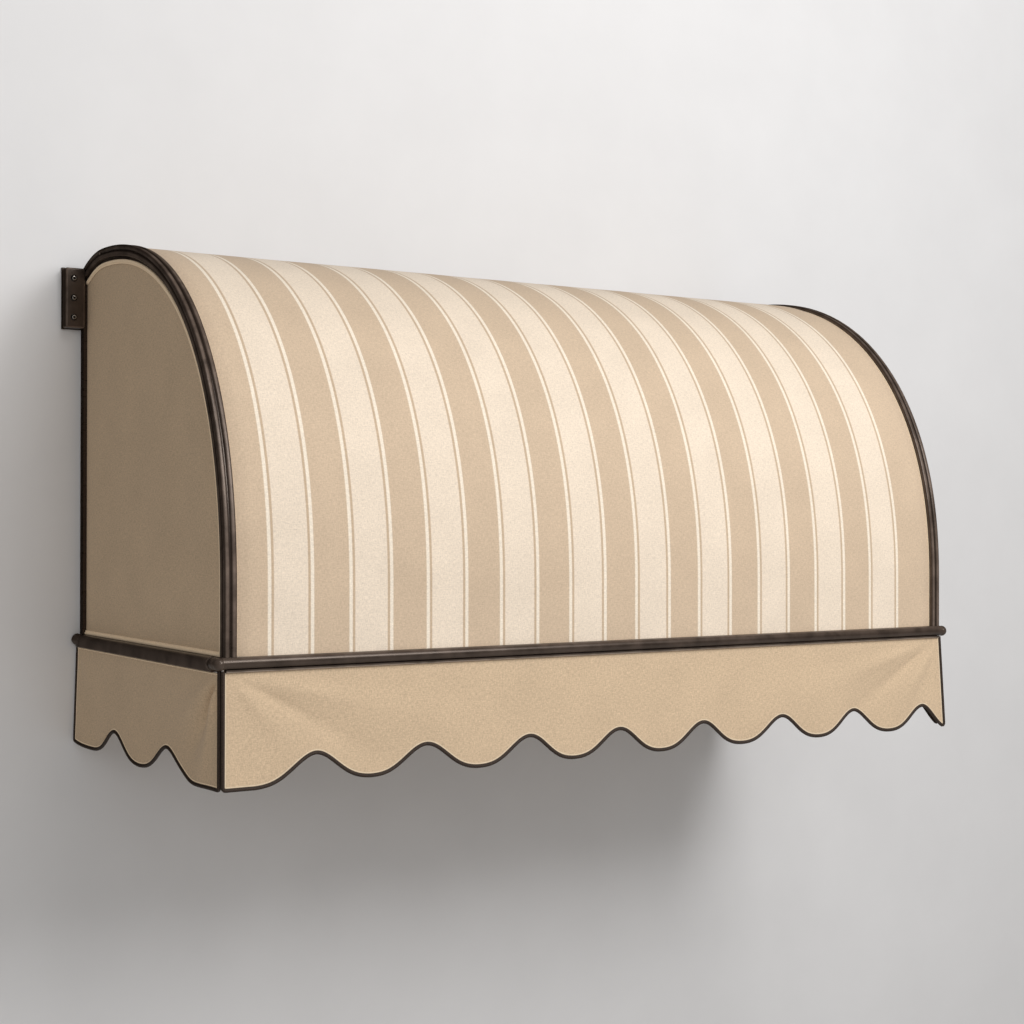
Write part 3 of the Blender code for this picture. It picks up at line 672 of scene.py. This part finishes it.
def make_bows():
    section, wear_and_highlight = bow_section()
    for side, label in SIDES:
        piece = lofted(
            label + "_bow_extrusion", section, 0.0, bow_foot, lambda a, side=side: side * (bow_side - a), 150,
            bronze, wear_and_highlight, flip=side > 0,
        )
        settle(piece, METAL, label + "_end_bow")
        ledge = [(0.0, ledge_inset), (0.0, ledge_inset + ledge_width)]
        ledge += [(a + ledge_thickness, b) for a, b in reversed(ledge)]
        piece = lofted(
            label + "_ledge_strip", ledge, upright_front_y, lambda inset: panel_bottom_z,
            lambda a, side=side: side * (ledge_outside - a), 120, bronze, [0.2, 0.7, 0.2, 0.1], flip=side < 0,
        )
        settle(piece, METAL, label + "_panel_ledge")
        ring = [
            (inner_bow_radius * math.cos(a), inner_bow_inset + inner_bow_radius * math.sin(a))
            for a in np.arange(24) * 2 * math.pi / 24
        ]
        piece = lofted(
            label + "_inner_bow_tube", ring, rear_edge_y, inner_foot,
            lambda a, side=side: side * inner_bow_place + a, 120, bronze, [0.15] * 24, flip=True,
        )
        settle(piece, METAL, label + "_inner_bow")


def rivet_spot():
    line = hood_line(rivet_inset, 0.0, rail_z, 900)
    return line[int(np.argmax(line[:, 0] <= -rivet_place))]


def make_rivets():
    y, z = rivet_spot()
    profile = [(0.0, -0.0015), (rivet_radius, -0.0015), (rivet_radius, 0.0)]
    profile += [(rivet_radius * math.cos(a), rivet_height * math.sin(a)) for a in np.linspace(0.25, 1.35, 6)]
    profile.append((0.0, rivet_height))
    # The dome is painted light towards its top: a painted highlight.
    wear_and_highlight = [0, 0, 0, 0, 0.1, 0.5, 0.9, 1.0, 1.0, 1.0]
    for side, label in SIDES:
        place = (side * bow_side, y, z)
        piece = lathe(label + "_rivet_head", profile, place, (side, 0, 0), painted_highlight_bronze, 28, wear_and_highlight)
        settle(piece, METAL, label + "_bow_rivet")


def make_front_rail():
    circle = [
        (rail_radius * math.cos(a), rail_radius * math.sin(a)) for a in np.arange(56) * 2 * math.pi / 56
    ]
    # An even wear, and a colour painted lighter towards the rail's top: a painted highlight.
    wear_and_highlight = [0.25 + 0.35 * max(b, 0.0) / rail_radius for a, b in circle]
    piece = bar_along(
        "front_rail_tube", circle, -rail_end, rail_end, lambda a, b, s: (s, -projection + a, rail_z + b),
        bronze, wear_and_highlight, 40,
    )
    settle(piece, METAL, "front_rail")
    half = track_width / 2
    low = track_bottom_z
    corner = 0.0024
    section = [(-half, track_height)]
    angles = np.linspace(0, 1.57, 6)
    section += [(-half + corner - corner * math.cos(a), corner - corner * math.sin(a)) for a in angles]
    section += [(half - corner + corner * math.sin(a), corner - corner * math.cos(a)) for a in angles]
    section.append((half, track_height))
    # The lower front rounding is painted light: a painted highlight line under the rail.
    wear_and_highlight = [0, 0.3, 0.9, 1.5, 1.5, 1.2, 0.4, 0, 0, 0, 0, 0, 0, 0]
    piece = bar_along(
        "valance_track_bead", section, -track_end, track_end, lambda a, b, s: (s, -projection + a, low + b),
        painted_highlight_bronze, wear_and_highlight, 40,
    )
    settle(piece, METAL, "front_valance_track")


def make_corner_fittings():
    ball = [(ball_radius * math.sin(a), -ball_radius * math.cos(a)) for a in np.linspace(0, 1.75, 22)]
    neck = ball[-1][1]
    profile = [
        *ball,
        (collar_radius - 0.0007, neck + 0.0010),
        (collar_radius, neck + 0.0018),
        (collar_radius, collar_reach - ring_width - 0.0014),
        (collar_radius - 0.0006, collar_reach - ring_width - 0.0007),
        (ring_radius - 0.0006, collar_reach - ring_width),
        (ring_radius, collar_reach - ring_width + 0.0007),
        (ring_radius, collar_reach - 0.0007),
        (ring_radius - 0.0006, collar_reach),
        (0.0, collar_reach),
    ]
    wear_and_highlight = [0.3] * len(ball) + [0.1, 0.5, 0.3, 0.1, 0.6, 1.0, 1.0, 0.6, 0.1]
    for side, label in SIDES:
        place = (side * rail_half_width, -projection, ball_z)
        piece = lathe(label + "_ball_corner", profile, place, (0, 1, 0), bronze, 56, wear_and_highlight, sharp=42)
        settle(piece, METAL, label + "_corner_fitting")


def make_side_rails():
    inner = side_rail_x - side_rail_width / 2
    outer = side_rail_x + side_rail_width / 2
    low, high, corner = side_rail_bottom_z, side_rail_top_z, side_rail_corner
    small = 0.0010
    section = [(inner + small, low), (outer - small, low), (outer, low + small)]
    section += [
        (outer - corner + corner * math.cos(a), high - corner + corner * math.sin(a))
        for a in np.linspace(0, math.pi / 2, 12)
    ]
    section += [(inner + small, high), (inner, high - small), (inner, low + small)]
    wear_and_highlight = [0.2, 0.5, 0.6, *[0.4] * 12, 0.5, 0.5, 0.2]
    for side, label in SIDES:
        piece = bar_along(
            label + "_side_rail_bar", section, side_rail_front_y, side_rail_rear_y,
            lambda a, b, s, side=side: (side * a, s, b), bronze, wear_and_highlight, 30, sharp=32, flip=side > 0,
        )
        settle(piece, METAL, label + "_side_rail")
        rear = math.acos(cap_setback / cap_radius)
        cap = [(0.0, 0.0)] + [
            (cap_radius * math.sin(a), -cap_setback + cap_radius * math.cos(a))
            for a in np.linspace(rear, math.pi, 24)
        ]
        piece = lathe(
            label + "_ball_cap", cap[::-1], (side * rail_half_width, 0, ball_z), (0, 1, 0), bronze, 48,
            [0.35] * len(cap),
        )
        settle(piece, METAL, label + "_rail_cap")


def rounded_box(name, low, high, radius, material, segments=5):
    """A box with rounded edges, and its edges a little worn."""
    shape = bmesh.new()
    bmesh.ops.create_cube(shape, size=1.0)
    size = Vector(high) - Vector(low)
    middle = (Vector(high) + Vector(low)) / 2
    bmesh.ops.scale(shape, vec=size, verts=shape.verts)
    bmesh.ops.translate(shape, vec=middle, verts=shape.verts)
    bmesh.ops.bevel(
        shape, geom=list(shape.edges), offset=radius, segments=segments, profile=0.5, affect="EDGES",
    )
    mesh = bpy.data.meshes.new(name)
    shape.to_mesh(mesh)
    shape.free()
    layer = mesh.attributes.new("wear_and_highlight", "FLOAT", "POINT")
    half = size / 2
    for vertex, value in zip(mesh.vertices, layer.data):
        from_middle = vertex.co - middle
        near = sum(abs(from_middle[k]) > half[k] - radius * 0.9 for k in range(3))
        value.value = 0.9 if near >= 2 else 0.2
    mesh.materials.append(material)
    mesh.shade_smooth()
    mesh.set_sharp_from_angle(angle=math.radians(40))
    return new_object(name, mesh)


def make_screw(name, place, node):
    """A round screw head: a dark flange, a raised ring painted bright as a highlight, and a dark socket in
    its middle.
    """
    profile = [
        (0.0, 0.0010),
        (0.0026, 0.0010),
        (0.0028, 0.0030),
        (0.0036, 0.0036),
        (0.0048, 0.0032),
        (0.0053, 0.0022),
        (0.0060, 0.0018),
        (0.0072, 0.0013),
        (head_radius, 0.0006),
        (head_radius, 0.0),
        (0.0025, 0.0),
        (0.0025, -0.003),
        (0.0, -0.003),
    ]
    # The raised ring is painted light as a highlight; the rim's lighter point is wear.
    wear_and_highlight = [0.0, 0.0, 0.5, 0.8, 0.6, 0.1, 0.0, 0.0, 0.25, 0.0, 0.0, 0.0, 0.0]
    piece = lathe(name, profile[::-1], place, (0, -1, 0), steel, 32, wear_and_highlight[::-1], sharp=45)
    settle(piece, "screw_metal", node)


def make_wall_fixings():
    for side, label in SIDES:
        far = bracket_near + bracket_width
        left, right = sorted((side * bracket_near, side * far))
        low = (left, bracket_front_y, bracket_low_z)
        high = (right, bracket_back_y, bracket_high_z)
        piece = rounded_box(label + "_bracket_cover", low, high, 0.004, bronze)
        settle(piece, METAL, label + "_wall_bracket")
        for i, z in enumerate(bracket_screw_zs, 1):
            place = (side * bracket_screw_x, bracket_front_y - 0.0002, z)
            make_screw(f"{label}_bracket_screw_head_{i}", place, f"{label}_bracket_screw_{i}")
        for i, x in enumerate(foot_screw_xs, 1):
            place = (side * x, foot_front_y - 0.0002, foot_screw_z)
            make_screw(f"{label}_foot_screw_head_{i}", place, f"{label}_foot_screw_{i}")


def dress_plain_nodes():
    """Gives the straight bars and plates of the frame their coating and softly rounded edges."""
    names = ["head_rail"]
    for _, label in SIDES:
        names += [label + part for part in ("_upright", "_bracket_plate", "_foot_bracket")]
    for name in names:
        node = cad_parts[name]
        node.data.materials.clear()
        node.data.materials.append(bronze)
        weld = node.modifiers.new("weld", "WELD")
        weld.merge_threshold = 0.00002
        edge = node.modifiers.new("edge", "BEVEL")
        edge.width = 0.0006
        edge.segments = 2
        edge.limit_method = "ANGLE"
        edge.angle_limit = math.radians(40)


# Canvas


def ripple(u, v, seed):
    """A gentle, fixed unevenness from a few long waves, between about -1 and 1."""
    total = np.zeros(np.broadcast(u, v).shape)
    for k in range(5):
        angle = seed * 1.7 + k * 2.39996
        length = 0.16 + 0.11 * ((k * 0.618 + seed * 0.37) % 1)
        total = total + np.sin(
            (u * math.cos(angle) + v * math.sin(angle)) * 2 * math.pi / length + seed + k * 1.3
        )
    return total / 5


def smooth_step(value, low, high):
    t = np.clip((value - low) / (high - low), 0, 1)
    return t * t * (3 - 2 * t)


def make_cover():
    """The striped cover: taut over the bows, and very slightly hollow between them."""
    columns, rows = 190, 170
    outer = hood_line(cover_inset, rear_edge_y, cover_bottom_z, rows)
    into = inward(outer)
    steps = distances(outer)
    x = np.linspace(-cover_half_width, cover_half_width, columns)
    bows = (-cover_half_width, -inner_bow_place, inner_bow_place, cover_half_width)
    between = np.zeros(columns)
    for a, b in zip(bows, bows[1:]):
        inside = (x >= a) & (x <= b)
        between[inside] = np.sin(math.pi * (x[inside] - a) / (b - a)) ** 2
    free = np.sin(math.pi * steps / steps[-1]) ** 0.6
    dip = edge_dip * smooth_step(np.abs(x), cover_half_width - 0.030, cover_half_width - 0.004)
    sag = 0.0008 * between[None, :] * free[:, None] + dip[None, :]
    sag = sag + 0.00025 * (1 + ripple(x[None, :], steps[:, None], 2.0)) * free[:, None]

    def surface(depth):
        y = outer[:, 0][:, None] + into[:, 0][:, None] * (sag + depth)
        z = outer[:, 1][:, None] + into[:, 1][:, None] * (sag + depth)
        return np.stack([np.broadcast_to(x[None, :], y.shape), y, z], 2)

    flat = np.stack(np.broadcast_arrays(x[None, :], -steps[:, None]), 2)
    cover = thin_sheet("striped_cover", surface(0.0), surface(cloth_thickness), striped, flat)
    settle(cover, "striped_canvas", "canopy_cover")
    for side, label in SIDES:
        line = hood_line(cover_inset + edge_dip - 0.0001, rear_edge_y, cover_bottom_z, 150)
        path = [(side * (cover_half_width - 0.0018), y, z) for y, z in line]
        piping = tube_along(label + "_cover_piping", path, cover_piping_radius, welt_canvas, 10)
        settle(piping, "pale_welt")


def panel_loop(count=200):
    """The side panel's outline as anticlockwise (y, z) points, from the rear top corner."""
    arch = hood_line(panel_inset, upright_front_y, panel_bottom_z, count)
    bottom = np.stack([np.linspace(arch[-1, 0], upright_front_y, 40)[1:], np.full(39, panel_bottom_z)], 1)
    up = np.linspace(panel_bottom_z, arch[0, 1], rear_steps + 2)[1:-1]
    rear = np.stack([np.full(rear_steps, upright_front_y), up], 1)
    return np.vstack([arch, bottom, rear])


def inset_loop(points, distance):
    """The closed outline moved inwards, with square corners kept."""
    before = unit(points - np.roll(points, 1, 0))
    after = unit(np.roll(points, -1, 0) - points)
    mitre = np.stack([-before[:, 1] - after[:, 1], before[:, 0] + after[:, 0]], 1)
    return points + mitre * (2 * distance / (mitre**2).sum(1))[:, None]


def panel_surface():
    """The side panel's cloth as grids of depth, height and how far it hollows or swells."""
    arch = hood_line(panel_inset, upright_front_y, rail_z + shoulder_height + 0.002, 110)
    rows = 60
    share = np.linspace(0, 1, rows)[:, None]
    y = np.broadcast_to(arch[:, 0][None, :], (rows, len(arch)))
    z = arch[:, 1][None, :] + (panel_bottom_z - arch[:, 1][None, :]) * share
    room = np.minimum.reduce([
        z - panel_bottom_z,
        arch[:, 1][None, :] - z,
        upright_front_y - y,
        y - arch[-1, 0],
    ])
    free = smooth_step(room, 0.012, 0.11)
    belly = 0.0016 * free * ripple(y, z * 0.6, 1.0) - 0.0022 * smooth_step(room, 0.02, 0.30)
    return y, z, belly


def welt_section():
    """The side welt's section as (inset, up) points: a cord at its outer edge, and a flat flange."""
    cord = welt_thickness
    section = [
        (cord - cord * math.cos(a), cord * 0.35 + cord * 0.65 * math.sin(a)) for a in np.linspace(0, 2.35, 9)
    ]
    section += [(0.0066, 0.0013), (welt_width - 0.0004, 0.0013), (welt_width, 0.0008), (welt_width, 0.0)]
    return [*section, (0.0, 0.0)]


def make_side_panels():
    y, z, belly = panel_surface()
    flat = np.stack([y, z], 2)
    loop = panel_loop()
    section = welt_section()
    banded = len(loop) - rear_steps
    loops = [inset_loop(loop, a)[:banded] for a, _ in section]
    for line in loops:
        line[[0, -1], 0] = upright_front_y
    around = distances(loop[:banded])
    over = np.linspace(0, 0.024, len(section) + 1)
    flat_welt = np.stack(np.broadcast_arrays(over[None, :], around[:, None]), 2)
    for side, label in SIDES:
        front = np.stack([side * (panel_x + cloth_thickness / 2 + belly), y, z], 2)
        back = np.stack([side * (panel_x - cloth_thickness / 2 + belly), y, z], 2)
        if side > 0:
            front, back = back, front
        panel = thin_sheet(label + "_shaded_side_canvas", front, back, shaded_side_canvas, flat)
        settle(panel, "beige_canvas", label + "_side_panel")
        rings = [
            [(side * (welt_inside_x + up), *loops[k][i]) for k, (_, up) in enumerate(section)]
            for i in range(banded)
        ]
        welt = ringed(
            label + "_side_welt", rings, brightened_side_welt_canvas, flat=flat_welt, sharp=50, flip=side < 0,
        )
        settle(welt, "pale_welt", label + "_panel_welt")


def hem_height(place, knots):
    """Height of the hem at the places: a wave of two terms, whose crests are where its phase is whole."""
    places, phases, drops = zip(*knots)
    turn = 2 * math.pi * np.interp(place, places, phases)
    drop = hem_drop + np.interp(place, places, drops)
    return rail_z - drop + hem_wave * np.cos(turn) + hem_peak * np.cos(2 * turn)


def bound_line(knots, tops):
    """The binding's middle line as (along, up): down one end, along the hem, and up the other end."""
    left, right = knots[0][0], knots[-1][0]
    turn = hem_turn
    places = np.linspace(left + turn, right - turn, int((right - left) / 0.004))
    hem = np.stack([places, hem_height(places, knots)], 1)
    angles = np.linspace(0, 1, 7)[1:-1] * math.pi / 2
    first_z, last_z = hem[0, 1], hem[-1, 1]
    first = [(left + turn - turn * math.cos(a), first_z + turn - turn * math.sin(a)) for a in angles]
    last = [(right - turn + turn * math.sin(a), last_z + turn - turn * math.cos(a)) for a in angles]
    down = [(left, z) for z in np.linspace(tops[0], first_z + turn, 40)]
    up = [(right, z) for z in np.linspace(last_z + turn, tops[1], 40)]
    return resampled(np.array([*down, *first, *hem, *last, *up]), int((right - left) / 0.004) + 110)


def left_of(line, distance):
    return line + inward(line) * distance


def folds(u, z, corner, creases):
    """Creases that fan out from a top corner: each has an angle below level, a width, a depth and a reach."""
    away = u - corner[0]
    down = corner[1] - z
    far = np.hypot(away, down) + 1e-9
    angle = np.degrees(np.arctan2(down, np.abs(away)))
    total = np.zeros(np.broadcast(u, z).shape)
    for direction, width, depth, reach in creases:
        across = (angle - direction) / width
        along = smooth_step(far, 0.0, 0.45 * reach) * np.exp(-((far / reach) ** 2))
        total = total + depth * np.exp(-across * across) * along
    return total


def valance_grid(knots, drape):
    """The valance's cloth as grids of (along, up, out), from its top edge to just inside its binding."""
    left, right = knots[0][0], knots[-1][0]
    edge = binding_radius * 0.6
    columns = int((right - left) / 0.0042)
    rows = 56
    u = np.linspace(left + edge, right - edge, columns)
    bottom = hem_height(u, knots) + edge * 0.9
    share = np.linspace(0, 1, rows)[:, None]
    z = valance_top_z + (bottom[None, :] - valance_top_z) * share
    u = np.broadcast_to(u[None, :], z.shape)
    return u, z, drape(u, z)


def edge_piping(name, line, drape, to_world, facing, material):
    """The pale piping just inside a valance's braid, which stands out on both faces of the cloth."""
    half = cloth_thickness / 2
    proud = half + piping_proud
    near = left_of(line, binding_radius - 0.0004)
    far = left_of(line, binding_radius - 0.0004 + piping_width)
    for edge in (near, far):
        edge[0, 1] = edge[-1, 1] = valance_top_z
    rings = []
    for (u1, z1), (u2, z2) in zip(near, far):
        h1, h2 = drape(u1, z1), drape(u2, z2)
        middle = ((u1 + u2) / 2, (z1 + z2) / 2, (h1 + h2) / 2)
        rings.append([
            to_world(u1, z1, h1 + half),
            to_world(middle[0], middle[1], middle[2] + proud),
            to_world(u2, z2, h2 + half * 0.9),
            to_world(u2, z2, h2 - half * 0.9),
            to_world(middle[0], middle[1], middle[2] - proud),
            to_world(u1, z1, h1 - half),
        ])
    steps = distances(line)
    flat = np.stack(np.broadcast_arrays(np.linspace(0, 0.007, 7)[None, :], steps[:, None]), 2)
    piping = ringed(name + "_piping", rings, material, flat=flat, sharp=60, flip=facing > 0)
    return settle(piping, "pale_welt")


def top_edge_piping(name, knots, drape, to_world, facing, material):
    """The pale piping along a side valance's top edge."""
    half = cloth_thickness / 2
    proud = half + piping_proud
    places = np.linspace(knots[0][0] + 0.003, knots[-1][0] - 0.003, 120)
    section = [
        (0.0, half), (-0.0022, 2 * proud), (-0.0044, half),
        (-0.0044, -half), (-0.0022, -proud), (0.0, -half),
    ]
    rows = [[to_world(s, valance_top_z + a, b + drape(s, valance_top_z)) for a, b in section] for s in places]
    flat = np.array([[(k * 0.001, s) for k in range(7)] for s in places])
    top = ringed(name + "_top_piping", rows, material, flat=flat, sharp=60, flip=facing < 0)
    return settle(top, "pale_welt")


def make_valance(name, knots, tops, drape, to_world, facing, nodes, cloths, top_piping):
    """One valance: its cloth, its dark braid, and the pale piping just inside the braid."""
    u, z, out = valance_grid(knots, drape)
    half = cloth_thickness / 2
    front = np.stack(to_world(u, z, out + half), 2)
    back = np.stack(to_world(u, z, out - half), 2)
    if facing < 0:
        front, back = back, front
    cloth = thin_sheet(name + "_cloth", front, back, cloths[0], np.stack([u, z], 2))
    settle(cloth, "beige_canvas", nodes[0])
    line = bound_line(knots, tops)
    lift = drape(line[:, 0], line[:, 1])
    path = np.stack(to_world(line[:, 0], line[:, 1], lift), 1)
    braid_piece = tube_along(name + "_braid", path, binding_radius, brown_braid, 16)
    settle(braid_piece, "brown_binding", nodes[1])
    extras = [braid_piece, edge_piping(name, line, drape, to_world, facing, cloths[1])]
    if top_piping:
        extras.append(top_edge_piping(name, knots, drape, to_world, facing, cloths[1]))


def front_drape(u, z):
    """How far the front valance's cloth stands out from its plane."""
    down = valance_top_z - z
    free = smooth_step(down, 0.0, 0.05)
    left_creases = ((15, 5, 0.0050, 0.52), (29, 5, -0.0062, 0.42), (46, 8, 0.0044, 0.28))
    right_creases = ((16, 5, 0.0056, 0.48), (31, 5, -0.0066, 0.40), (50, 7, 0.0052, 0.28))
    left = folds(u, z, (-0.985, -0.862), left_creases)
    right = folds(u, z, (0.985, -0.862), right_creases)
    waves = 0.0018 * np.sin(2 * math.pi * u / 0.47 + 0.8) + 0.0011 * np.sin(2 * math.pi * u / 0.21 + 2.0)
    hang = smooth_step(down, 0.02, 0.20)
    ends = smooth_step(0.985 - np.abs(u), 0.0, 0.12)
    return free * (left + right) + waves * hang * ends + 0.0006 * ripple(u, z, 4.0) * free * ends


def side_drape(u, z):
    """How far a side valance's cloth stands out from its plane. Its rear edge turns outwards at the hem."""
    down = valance_top_z - z
    free = smooth_step(down, 0.0, 0.05)
    front_creases = ((31, 9, 0.0085, 0.22), (51, 7, -0.0175, 0.21), (68, 7, 0.0115, 0.20))
    rear_creases = ((40, 12, 0.0018, 0.20), (66, 12, -0.0014, 0.18))
    front = folds(u, z, (-0.828, -0.862), front_creases)
    rear = folds(u, z, (0.0, -0.862), rear_creases)
    waves = 0.0014 * np.sin(2 * math.pi * u / 0.36 + 1.1)
    hang = smooth_step(down, 0.02, 0.20)
    ends = smooth_step(np.minimum(u + 0.832, -u), 0.0, 0.10)
    turned = rear_flare * smooth_step(u, -0.16, 0.0) * down / valance_height
    return free * (front + rear) + waves * hang * ends + 0.0005 * ripple(u, z, 5.0) * free * ends + turned


def front_place(u, z, out):
    """The front valance hangs at the front rail, and its right end widens towards the hem."""
    widened = end_flare * smooth_step(u, 0.70, 0.98) * (valance_top_z - z) / valance_height
    return u + widened + 0 * out, -projection - out + 0 * u, z + 0 * out


def make_valances():
    make_valance(
        "front_valance", front_knots, (cord_top_z, cord_top_z), front_drape, front_place, 1,
        ("front_valance", "front_valance_binding"), (plain_canvas, welt_canvas),
        False,
    )
    for side, label in SIDES:
        knots = left_knots if side < 0 else right_knots
        make_valance(
            label + "_valance", knots, (cord_top_z, valance_top_z), side_drape,
            lambda u, z, out, side=side: (side * (side_valance_x + out), u + 0 * out, z + 0 * out),
            -side, (label + "_valance", label + "_valance_binding"),
            (shaded_side_canvas, brightened_side_welt_canvas), True,
        )


# Floor, wall and light


def make_plane(name, corners, material):
    mesh = bpy.data.meshes.new(name)
    mesh.from_pydata(corners, [], [(0, 1, 2, 3)])
    mesh.materials.append(material)
    plane = new_object(name, mesh)
    return plane


def make_stage():
    """A pale floor, and a wall that shows only from the street side. The wall neither blocks light nor is
    reflected, so the frame's sides stay dark."""
    plaster = Tree("pale_wall")
    place = plaster.nodes.new("ShaderNodeTexCoord").outputs["Object"]
    patches = plaster.spread(plaster.noise(place, 3.0, 4.0, 0.6), 0.3, 0.7, 0.0, 1.0)
    tone = plaster.mix(patches, (0.735, 0.728, 0.731), (0.765, 0.758, 0.761))
    plaster.set(Base_Color=tone, Roughness=0.95, Specular_IOR_Level=0.1)
    clear = plaster.add("BsdfTransparent")
    behind = plaster.nodes.new("ShaderNodeNewGeometry").outputs["Backfacing"]
    choice = plaster.nodes.new("ShaderNodeMixShader")
    plaster.put(choice.inputs[0], behind)
    plaster.put(choice.inputs[1], plaster.shader.outputs[0])
    plaster.put(choice.inputs[2], clear)
    plaster.put(plaster.nodes["Material Output"].inputs["Surface"], choice.outputs[0])
    wall = make_plane(
        "wall_backdrop", [(-12, 0.001, -2.7), (12, 0.001, -2.7), (12, 0.001, 7), (-12, 0.001, 7)],
        plaster.material,
    )
    wall.visible_diffuse = False
    wall.visible_shadow = False
    wall.visible_glossy = False
    floor = Tree("pale_floor")
    place = floor.nodes.new("ShaderNodeTexCoord").outputs["Object"]
    patches = floor.spread(floor.noise(place, 2.0, 4.0, 0.6), 0.3, 0.7, 0.0, 1.0)
    tone = floor.mix(patches, (0.66, 0.655, 0.65), (0.69, 0.685, 0.68))
    floor.set(Base_Color=tone, Roughness=0.9, Specular_IOR_Level=0.1)
    corners = [(-12, -12, -2.7), (12, -12, -2.7), (12, 12, -2.7), (-12, 12, -2.7)]
    make_plane("floor", corners, floor.material)


def make_light(name, place, aim, size, watts):
    data = bpy.data.lights.new(name, "AREA")
    data.shape = "RECTANGLE"
    data.size, data.size_y = size
    data.energy = watts
    lamp = new_object(name, data)
    lamp.location = place
    lamp.rotation_mode = "QUATERNION"
    lamp.rotation_quaternion = (Vector(aim) - Vector(place)).to_track_quat("-Z", "Y")
    return lamp


def make_lights():
    make_light("key", (1.4, -4.6, 1.8), (0, -0.4, -0.4), (1.9, 1.9), 142)
    make_light("wash", (0.2, -4.4, 4.2), (0, 0, 1.6), (2.0, 1.4), 81)
    make_light("fill", (-1.3, -5.6, 0.5), (0, -0.4, -0.6), (3.0, 3.0), 29)
    side_lamp = make_light("side", (-4.6, -2.8, 0.8), (-0.9, -0.4, -0.6), (2.2, 2.2), 23)
    side_lamp.visible_glossy = False  # the frame's outer sides stay dark
    world = bpy.data.worlds.new("world")
    world.use_nodes = True
    world.cycles_visibility.glossy = False
    bpy.context.scene.world = world
    sky = world.node_tree.nodes["Background"]
    sky.inputs["Color"].default_value = (1.0, 0.975, 0.94, 1)
    sky.inputs["Strength"].default_value = 0.285
    bpy.context.scene.view_settings.view_transform = "Standard"


make_bows()
make_rivets()
make_front_rail()
make_corner_fittings()
make_side_rails()
make_wall_fixings()
dress_plain_nodes()
make_cover()
make_side_panels()
make_valances()
make_stage()
make_lights()
